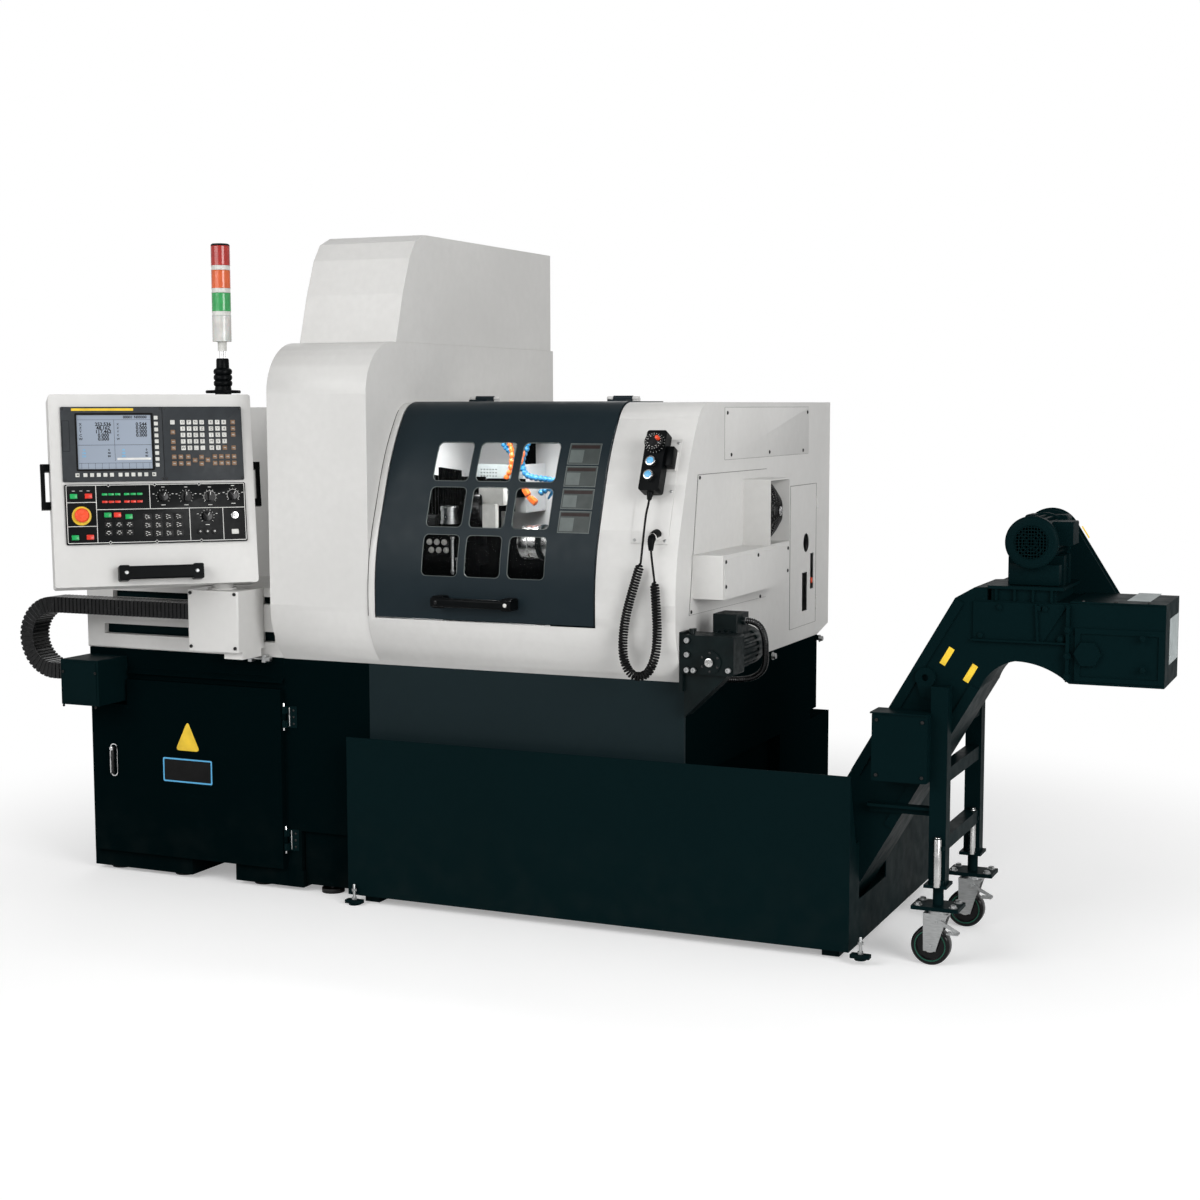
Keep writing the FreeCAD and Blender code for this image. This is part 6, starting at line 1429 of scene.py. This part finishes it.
class LATHE_OT_base(Maker):
    """Base frame, apron, feet and the fittings round them"""
    bl_idname = "lathe.base"
    bl_label = "Base"

    def execute(self, context):
        # The frame's paint is darker than the tank's partly as painted shade on its side faces.
        dress("base_frame", "frame_dark", 1.2)
        dress("apron_panel", "apron_grey", 0.8)
        dress("levelling_feet", "dark_screw", 0.8)
        dress("coolant_tank", "base_dark", 1.0)
        build("rail_clamps zinc machine steel", (slab(-352, -338, -24, -1, 688, 710, 1.5), SCALE),
              (slab(-303, -289, -24, -1, 688, 710, 1.5), SCALE),
              (turned([(9, 0), (9, 14), (5, 16)], 24), seat(-290, -16, 699, FACING_RIGHT)))
        build("rail_stop zinc machine steel",
              (turned([(4, 0), (4, 62)], 16), seat(-350, -16, 699, FACING_RIGHT)))
        for index, y in enumerate((695, 1171)):
            build("lip_bolt_%d zinc machine steel" % index,
                  (hex_bolt(9, 12), seat(1046, y, 690, FACING_RIGHT)))
        self.levellers()
        # The skirt takes the frame's darker paint, partly painted shade.
        build("base_skirt frame_dark machine dark_paint", (slab(-186, -3, 14, 20, 22, 192, 1), SCALE))
        build("rail_slots base_dark machine dark_paint",
              *[(slab(x0, -272, z0, z1, -21.7, -20.0, 0.2), SCALE @ FACING_FRONT)
                for x0, z0, z1 in ((-873, 860, 880), (-908, 747, 776))])
        return {"FINISHED"}

    def levellers(self):
        """Levelling bolts on their brackets at the tank's front corners."""
        spots = [seat(x, -62, lift, FACING_UP) for x, lift in ((27, 0), (1545, 14))]
        build("tank_brackets base_dark machine dark_paint", (slab(-26, 26, -12, 12, 4, 15, 1.5), *spots),
              (turned([(16, 0), (16, 2), (11, 4)], 32), *spots))
        build("tank_bolts zinc machine steel", (turned([(4, 3), (4, 58), (3, 60)], 20), *spots),
              *[(turned([(8, z), (8, z + 7)], 6), *spots) for z in (15, 40)])


HOUSING_SCREWS = ((64, 1025), (329, 1025), (597, 1026), (65, 958), (595, 960))
FRAME_SCREWS = ((98, 1249), (607, 879), (36, 889))
HOUSING_EDGE = ([(92.2, 1255.8), (664.8, 1254.8), (662.8, 874.2), (28.2, 881.2)],
                [(90.5, 1257.6), (666.4, 1256.4), (664.4, 872.6), (26.2, 879.6)])
FAN_RADIUS, FAN_LEVEL = 81, 50


class LATHE_OT_side(Maker):
    """Side housing with its fan, wire guard, hatch and screws"""
    bl_idname = "lathe.side"
    bl_label = "Side housing"

    def execute(self, context):
        screw = context.scene.lathe_fasteners.cover_screw
        dress("side_housing access_door", "cover_white", 0.8)
        dress("fan_guard", "chrome", 0.5)
        dress("fan_rotor", "black_plastic", 0.4)
        spots = [seat(1124, y, z, FACING_RIGHT) for y, z in HOUSING_SCREWS]
        spots += [seat(1035, y, z, FACING_RIGHT) for y, z in FRAME_SCREWS]
        build("housing_screws dark_screw machine steel", (dome_screw(screw, 3), *spots))
        low, high = ((corner - ORIGIN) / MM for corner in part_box("access_door"))
        side = seat(COVER_RIGHT, 0, 0, FACING_RIGHT)
        build("housing_edges seam_grey machine rubber", (band(*HOUSING_EDGE, 0.0, 0.9), side),
              (rim(grown((low.y, high.y, low.z, high.z), 1.6), 1.5, 2, 1, 0, 0.6), side))
        self.fan()
        build("hatch_lamp stop_red access_door red_plastic",
              (slab(-4, 4, -9, 9, 0, 6, 1), seat(1029.5, 1120, 884, FACING_RIGHT)))
        return {"FINISHED"}

    def fan(self):
        """Sleeve, domed wire guard and boss of the fan."""
        fan = seat(COVER_RIGHT, 537, 1138, FACING_RIGHT)
        build("fan_sleeve shadow_black machine black_plastic", (washer(83.6, 82.3, 3.6, 47.6), fan),
              (washer(79.8, 78, 3.4, 47.6), fan))
        wires = Piece()
        for index in range(13):
            radius = FAN_RADIUS - index * 5
            rise = FAN_LEVEL + 38 * (1 - (radius / FAN_RADIUS) ** 2)
            ring = [fan @ Vector((*spoke(radius, 2 * math.pi * k / 48), rise)) for k in range(49)]
            wires.add(swept(ring, 1.5 * MM, 8), IN_METRES)
        for arm in range(4):
            angle = math.pi / 4 + math.pi * arm / 2
            line = [fan @ Vector((*spoke(radius, angle), FAN_LEVEL + 40 * (1 - (radius / FAN_RADIUS) ** 2)))
                    for radius in range(4, 83, 6)]
            wires.add(swept(line, 1.8 * MM, 8), IN_METRES)
        wires.made("fan_wires dark_screw machine steel", 60)
        build("fan_boss chrome machine chrome", (turned([(14, 84), (14, 89), (10, 91)], 32), fan))


GEARBOX_SCREWS = ((1057, 744), (1076, 744), (1174, 748), (1057, 823), (1057, 785))
SHAFT_X, SHAFT_Z = 1121, 767


class LATHE_OT_drive(Maker):
    """Gearbox with its screws and shaft, and the gear motor, at the right of the front"""
    bl_idname = "lathe.drive"
    bl_label = "Gearbox and motor"

    def execute(self, context):
        dress("gearbox gear_motor", "cast_black", 0.8)
        build("gearbox_screws zinc machine steel",
              (socket_screw(7.6, 7), *[seat(x, -50, z) for x, z in GEARBOX_SCREWS]))
        build("gearbox_shaft bright_steel machine steel",
              (turned([(11.5, 0), (11.5, 4.6), (9, 5.4), (6, 5.4), (5.8, 2), (0.01, 2)], 32),
               seat(SHAFT_X, -54, SHAFT_Z)))
        ring = [spoke(25, math.radians(30 + 60 * k)) for k in range(6)]
        build("cap_screws dark_screw machine steel",
              (turned([(3.2, 0), (3.2, 1.6), (2.4, 2.2)], 16),
               *[seat(SHAFT_X + x, -50, SHAFT_Z + z) for x, z in ring]))
        build("conduit_nut chrome machine chrome",
              (turned([(12.5, 0), (12.5, 7), (10.5, 9), (10.5, 12)], 6), seat(1159, 102, 865, FACING_RIGHT)))
        return {"FINISHED"}


BELLOWS = (110.0, 229.0, 200.0, 212.0, 1096.0, 1246.0)
BELLOWS_FOLDS = 11
SPINDLE_LINE = (230, 1050)
# The second block part is a near-black plate in front of the tools: painted shade, a dark sheet where the
# working area lies in shadow.
BLOCK_PARTS = ((290, 356, 84, 100, 1010, 1058), (232, 356, 139, 151, 1070, 1204),
               (236, 312, 328, 340, 1078, 1172), (300, 324, 520, 556, 1262, 1360),
               (272, 390, 376, 556, 1346, 1360))
NOZZLES = ((284, 962, 1070), (300, 948, 1010), (318, 970, 1004))
# Hoses: name, finish, route, radius and beads.
HOSES = (
    ("hose_a", "hose_blue", [(284, 400, 1354), (284, 400, 1346), (292, 400, 1322), (322, 400, 1300),
                             (334, 400, 1268)], 9, 9),
    ("hose_b", "hose_orange", [(306, 390, 1354), (308, 390, 1346), (326, 388, 1312), (322, 388, 1272),
                               (318, 388, 1246), (300, 388, 1222)], 8, 8),
    ("hose_c", "hose_blue", [(374, 400, 1354), (372, 400, 1322), (352, 400, 1290), (356, 394, 1250),
                             (386, 380, 1231), (432, 374, 1228), (480, 372, 1222)], 10, 15),
    ("hose_d", "hose_orange", [(346, 394, 1354), (364, 384, 1318), (360, 384, 1290), (352, 384, 1268)], 8, 4),
    ("hose_e", "hose_blue", [(484, 372, 1216), (454, 370, 1199), (424, 368, 1184)], 10, 5))
BEAD_STEPS = 8


class LATHE_OT_interior(Maker):
    """Working area behind the windows: liner, spindles, tools, hoses and pleated way cover"""
    bl_idname = "lathe.interior"
    bl_label = "Working area"

    def execute(self, context):
        dress("interior_liner", "liner_grey", 0.0)
        dress("guide_bush_block", "cast_grey", 0.8)
        dress("main_spindle sub_spindle", "bright_steel", 0.5)
        dress("tool_gang", "shadow_black", 0.5)
        dress("sub_spindle_slide", "cast_grey", 0.8)
        dress("coolant_hoses", "hose_blue", 0.2)
        self.bellows()
        self.tools()
        self.hoses()
        return {"FINISHED"}

    def bellows(self):
        """Pleated black cover at the head's wall, on the shelf that carries it, with painted highlights on
        its folds.
        """
        x0, x1, y0, y1, z0, z1 = BELLOWS
        points, faces = [], []
        for fold in range(2 * BELLOWS_FOLDS + 1):
            x, y = x0 + (x1 - x0) * fold / (2 * BELLOWS_FOLDS), y0 - (9 if fold % 2 else 0)
            top = z1 - 6 * fold / BELLOWS_FOLDS
            points += [Vector((x, y, z0)), Vector((x, y, top)), Vector((x, y1, top)), Vector((x, y1, z0))]
        for a in range(0, 8 * BELLOWS_FOLDS, 4):
            faces += [[a + k, a + (k + 1) % 4, a + 4 + (k + 1) % 4, a + 4 + k] for k in range(4)]
        last = 8 * BELLOWS_FOLDS
        faces += [[0, 1, 2, 3], [last + 3, last + 2, last + 1, last]]
        build("slide_bellows shadow_black machine black_plastic", ((points, faces), SCALE), smooth=20)
        # Dark grey strips on the folds' outer crests: painted highlights where light catches the pleats.
        lines = Piece()
        for fold in range(BELLOWS_FOLDS):
            x = x0 + (x1 - x0) * (2 * fold + 1) / (2 * BELLOWS_FOLDS)
            lines.add(slab(x - 0.5, x + 0.5, y0 - 9.5, y0 - 8.2, z0, z1 - 6 - 3 * fold / BELLOWS_FOLDS, 0),
                      SCALE)
        lines.made("bellows_edges cast_grey machine black_plastic")
        build("bellows_shelf shadow_black machine dark_paint",
              (slab(106.5, 231, 150, 214, 1084, 1096, 1), SCALE))
        build("bed_guard shadow_black machine dark_paint", (slab(112, 892, 345, 554, 796, 1062, 3), SCALE))

    def tools(self):
        """Tool block with its bar for the hoses and its black plate of painted shade in front of the tools,
        sleeve, drum, screws, nozzles and chute, and the chuck.
        """
        block = Piece().add(slab(168, 356, 88, 115, 952, 1074, 3), SCALE)
        for part in BLOCK_PARTS:
            block.add(slab(*part, 2), SCALE)
        block.add(turned([(30, 0), (30, 28), (27, 31)], 40), seat(256, 118, 1074, FACING_UP))
        for fold in range(9):
            block.add(slab(216 + 8 * fold, 222 + 8 * fold, 126, 140, 1160, 1267 - fold, 1.5), SCALE)
        block.made("tool_block shadow_black tool_gang dark_paint")
        build("gang_sheet label_pale tool_gang light_plastic",
              (slab(192, 346, 417, 425, 1196, 1268, 1), SCALE))
        build("gang_side liner_grey tool_gang dark_paint", (slab(352, 356, 426, 556, 1123, 1268, 0), SCALE),
              (slab(318, 354, 421.5, 425, 1123, 1268, 0), SCALE))
        # Flat black dots on the sheet: painted shade standing in for the insides of its holes.
        dots = [seat(x, 417, z) for x in range(206, 262, 10) for z in (1232, 1242, 1252)]
        build("sheet_holes mark_black tool_gang dark_paint", (turned([(2, 0), (2, 0.6)], 12), *dots))
        build("guide_sleeve zinc tool_gang steel",
              (turned([(26, 0), (27, 1), (27, 12), (25.5, 13), (25.5, 40), (27, 41), (27, 52), (24, 54),
                       (13, 54), (13, 50), (0.01, 50)], 48), seat(256, 118, 1102, FACING_UP)))
        build("tool_drum black_gloss tool_gang dark_paint",
              (turned([(42, 0), (44, 2), (44, 40), (40, 44), (22, 44), (20, 40), (0.01, 40)], 48),
               seat(318, 134, 1150, FACING_RIGHT)))
        # The clamp screws are plated, and their white finish is a painted highlight standing in for their
        # shine.
        screws = [seat(x + 24 * column, 88, z) for column in range(3) for x, z in ((206, 1053), (212, 1030))]
        build("clamp_screws key_white tool_gang chrome", (hex_bolt(6.5, 9), *screws))
        nozzles = Piece()
        for x, z0, z1 in NOZZLES:
            long = z1 - z0
            nozzles.add(turned([(3, 0), (6, 5), (6, 12), (4.5, 14), (4.5, long - 8), (7, long - 6),
                                (7, long)], 20), seat(x, 82, z0, FACING_UP))
        nozzles.made("coolant_nozzles zinc tool_gang steel")
        build("chip_chute key_white tool_gang light_plastic",
              (slab(350, 430, 118, 148, 1160, 1212, 4), SCALE),
              (slab(370, 415, 98, 122, 1094, 1166, 6), SCALE))
        chuck = turned([(20, -14), (28, -10), (28, 0), (48, 2), (50, 5), (50, 30), (48, 32), (48, 40),
                        (50, 42), (50, 58), (44, 60)], 64)
        build("sub_chuck bright_steel sub_spindle steel", (chuck, seat(440, *SPINDLE_LINE, FACING_RIGHT)))
        build("sub_chuck_ring cast_black sub_spindle dark_paint",
              (turned([(52, 0), (52, 9), (47, 12)], 64), seat(500, *SPINDLE_LINE, FACING_RIGHT)))

    def hoses(self):
        """Jointed coolant hoses with their nozzles, which hang from the tool block's bar."""
        for name, finish, route, radius, beads in HOSES:
            line, _ = smooth_line(route, beads * BEAD_STEPS)
            radii = [radius * MM * (0.60 + 0.40 * abs(math.sin(math.pi * index / BEAD_STEPS)))
                     for index in range(len(line))]
            build("%s %s tool_gang hose_blue" % (name, finish), (swept(line, radii, 20), IN_METRES),
                  smooth=60)
        tips = [seat(x, 370, z, FACING_UP) @ Matrix.Rotation(math.radians(lean), 4, "Y")
                for x, z, lean in ((378, 1191, -35), (400, 1164, -55))]
        build("hose_nozzles hose_orange tool_gang hose_blue",
              (turned([(9, -16), (11, -14), (11, 6), (8, 9), (8, 17)], 6), *tips))


MOTOR_HEAD = (1941, 1101)
GRILLE_RADIUS, GRILLE_STEP = 43, 7.6
# Conveyor's bolts: how far back they stand, and their (x, z) places.
CONVEYOR_BOLTS = ((46, ((1865, 936), (1962, 936), (1818, 862), (2018, 862), (1979, 936))),
                  (37, ((2037, 886), (2037, 820), (2037, 768))), (38, ((2219, 873), (2221, 795))))


class LATHE_OT_conveyor(Maker):
    """Chip conveyor with its motor, discharge box, stand and plain labels"""
    bl_idname = "lathe.conveyor"
    bl_label = "Chip conveyor"

    def execute(self, context):
        bolt = context.scene.lathe_fasteners.frame_bolt
        dress("conveyor_body discharge_box conveyor_stand chain_guard", "conveyor_dark", 1.0)
        dress("conveyor_motor", "conveyor_dark", 0.8)
        long = [seat(x, 50.8, z) @ Matrix.Rotation(math.radians(60), 4, "Z")
                for x, z in ((1732, 803), (1793, 762))]
        short = seat(2067, 90.4, 1128) @ Matrix.Rotation(math.radians(-58), 4, "Z")
        build("conveyor_marks signal_yellow machine light_plastic", (sheet(-25, 25, -8, 8, 1, 0, 0.6), *long),
              (sheet(-17, 17, -1.6, 1.6, 1, 0, 0.6), short))
        bolts = [seat(x, y, z) for y, spots in CONVEYOR_BOLTS for x, z in spots]
        build("conveyor_bolts conveyor_dark machine steel", (hex_bolt(bolt, 6), *bolts))
        build("discharge_lid_screws dark_screw machine steel",
              (dome_screw(4.5, 3), *[seat(x, 60, 957, FACING_UP) for x in (2070, 2150, 2230)]))
        build("stand_box_screws dark_screw machine steel",
              (socket_screw(4.5, 4), *[seat(x, -34, z) for x in (1572, 1692) for z in (498, 641)]))
        rods = [seat(1730, y, 213, FACING_UP) for y in (-10, 388)]
        build("lift_rods bright_steel machine steel",
              (turned([(10.3, 0), (10.3, 124), (8, 129), (4, 130.5)], 28), *rods))
        build("discharge_labels label_pale machine light_plastic",
              (sheet(125, 290, 800, 915, 2, 0, 0.5), seat(2272, 0, 0, FACING_RIGHT)),
              (sheet(2168, 2225, 118, 330, 2, 0, 0.5), seat(0, 0, 957, FACING_UP)))
        self.motor()
        return {"FINISHED"}

    def motor(self):
        """Fan cowl of the conveyor's motor with its grille, and the block under it."""
        x, z = MOTOR_HEAD
        axis = seat(x, 45, z)
        profile = [(58, -14), (66.5, -12), (66.5, -4), (64, -1), (57, 0.6), (44, 1.2), (GRILLE_RADIUS, 0.2),
                   (0.01, 0.2)]
        build("motor_cowl conveyor_dark machine dark_paint", (turned(profile, 56), axis))
        grille = Piece()
        for radius in (12, 22, 32, 42):
            grille.add(turned([(radius - 1, 0.2), (radius - 1, 1.6), (radius + 1, 1.6), (radius + 1, 0.2)],
                              48), axis)
        for step in range(-5, 6):
            middle = step * GRILLE_STEP
            reach = math.sqrt(GRILLE_RADIUS ** 2 - middle ** 2)
            grille.add(slab(middle - 0.9, middle + 0.9, -reach, reach, 0.2, 1.9, 0.2), axis)
            grille.add(slab(-reach, reach, middle - 0.9, middle + 0.9, 0.2, 1.8, 0.2), axis)
        grille.made("motor_grille conveyor_dark machine dark_paint")
        build("motor_block conveyor_dark machine dark_paint",
              (slab(x - 62, x + 66, 74, 236, 991, 1044, 3), SCALE))


class LATHE_OT_casters(Maker):
    """Casters with plated forks, brakes and green wheels"""
    bl_idname = "lathe.casters"
    bl_label = "Casters"

    def execute(self, context):
        dress("caster_fork_front caster_fork_rear caster_brake_front caster_brake_rear", "zinc", 0.6)
        dress("caster_wheel_front caster_wheel_rear", "black_gloss", 0.8)
        for side, y in (("front", 24), ("rear", 422)):
            nuts = [seat(1726 + dx, y + dy, 160, FACING_UP) for dx in (-46, 46) for dy in (-28, 28)]
            build("caster_nuts_%s zinc machine steel" % side, (hex_bolt(8, 8), *nuts))
            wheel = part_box("caster_wheel_" + side)
            hub = (wheel[0] + wheel[1]) / 2
            faces = [Matrix.Translation((hub.x, y, hub.z)) @ facing @ Matrix.Scale(MM, 4)
                     for facing, y in ((FACING_FRONT, wheel[0].y), (FACING_BACK, wheel[1].y))]
            build("caster_rim_%s rim_green caster_wheel_%s black_plastic" % (side, side),
                  (washer(41, 38.5, -1, 0.8, 14), *faces), smooth=50)
            build("caster_hub_%s bright_steel caster_wheel_%s steel" % (side, side),
                  (turned([(17, -1), (17, 1.2), (12, 2.0)], 32), *faces), smooth=50)
        return {"FINISHED"}


# ---------------------------------------------------------------- panel in the sidebar and registration

MAKERS = (LATHE_OT_stage, LATHE_OT_cords, LATHE_OT_covers, LATHE_OT_work_door, LATHE_OT_panel,
          LATHE_OT_tower_light, LATHE_OT_chain, LATHE_OT_hand_wheel, LATHE_OT_cabinet, LATHE_OT_base,
          LATHE_OT_side, LATHE_OT_drive, LATHE_OT_interior, LATHE_OT_conveyor, LATHE_OT_casters)
SETTINGS = {"lathe_stage": StageSettings, "lathe_colours": ColourSettings,
            "lathe_fasteners": FastenerSettings, "lathe_cords": CordSettings}


class LATHE_PT_panel(bpy.types.Panel):
    """The lathe's makers and settings"""
    bl_idname = "LATHE_PT_panel"
    bl_label = "Turning lathe"
    bl_space_type = "VIEW_3D"
    bl_region_type = "UI"
    bl_category = "Lathe"

    def draw(self, context):
        for name, group in SETTINGS.items():
            for key in group.__annotations__:
                self.layout.prop(getattr(context.scene, name), key)
        for maker in MAKERS:
            self.layout.operator(maker.bl_idname)


def register():
    for group in SETTINGS.values():
        bpy.utils.register_class(group)
    for name, group in SETTINGS.items():
        setattr(bpy.types.Scene, name, bpy.props.PointerProperty(type=group))
    for maker in MAKERS:
        bpy.utils.register_class(maker)
    bpy.utils.register_class(LATHE_PT_panel)


def unregister():
    bpy.utils.unregister_class(LATHE_PT_panel)
    for maker in reversed(MAKERS):
        bpy.utils.unregister_class(maker)
    for name, group in SETTINGS.items():
        delattr(bpy.types.Scene, name)
        bpy.utils.unregister_class(group)


def main():
    register()
    make_finishes(bpy.context.scene.lathe_colours)
    for maker in MAKERS:
        group, name = maker.bl_idname.split(".")
        getattr(getattr(bpy.ops, group), name)()


if __name__ == "__main__":
    main()
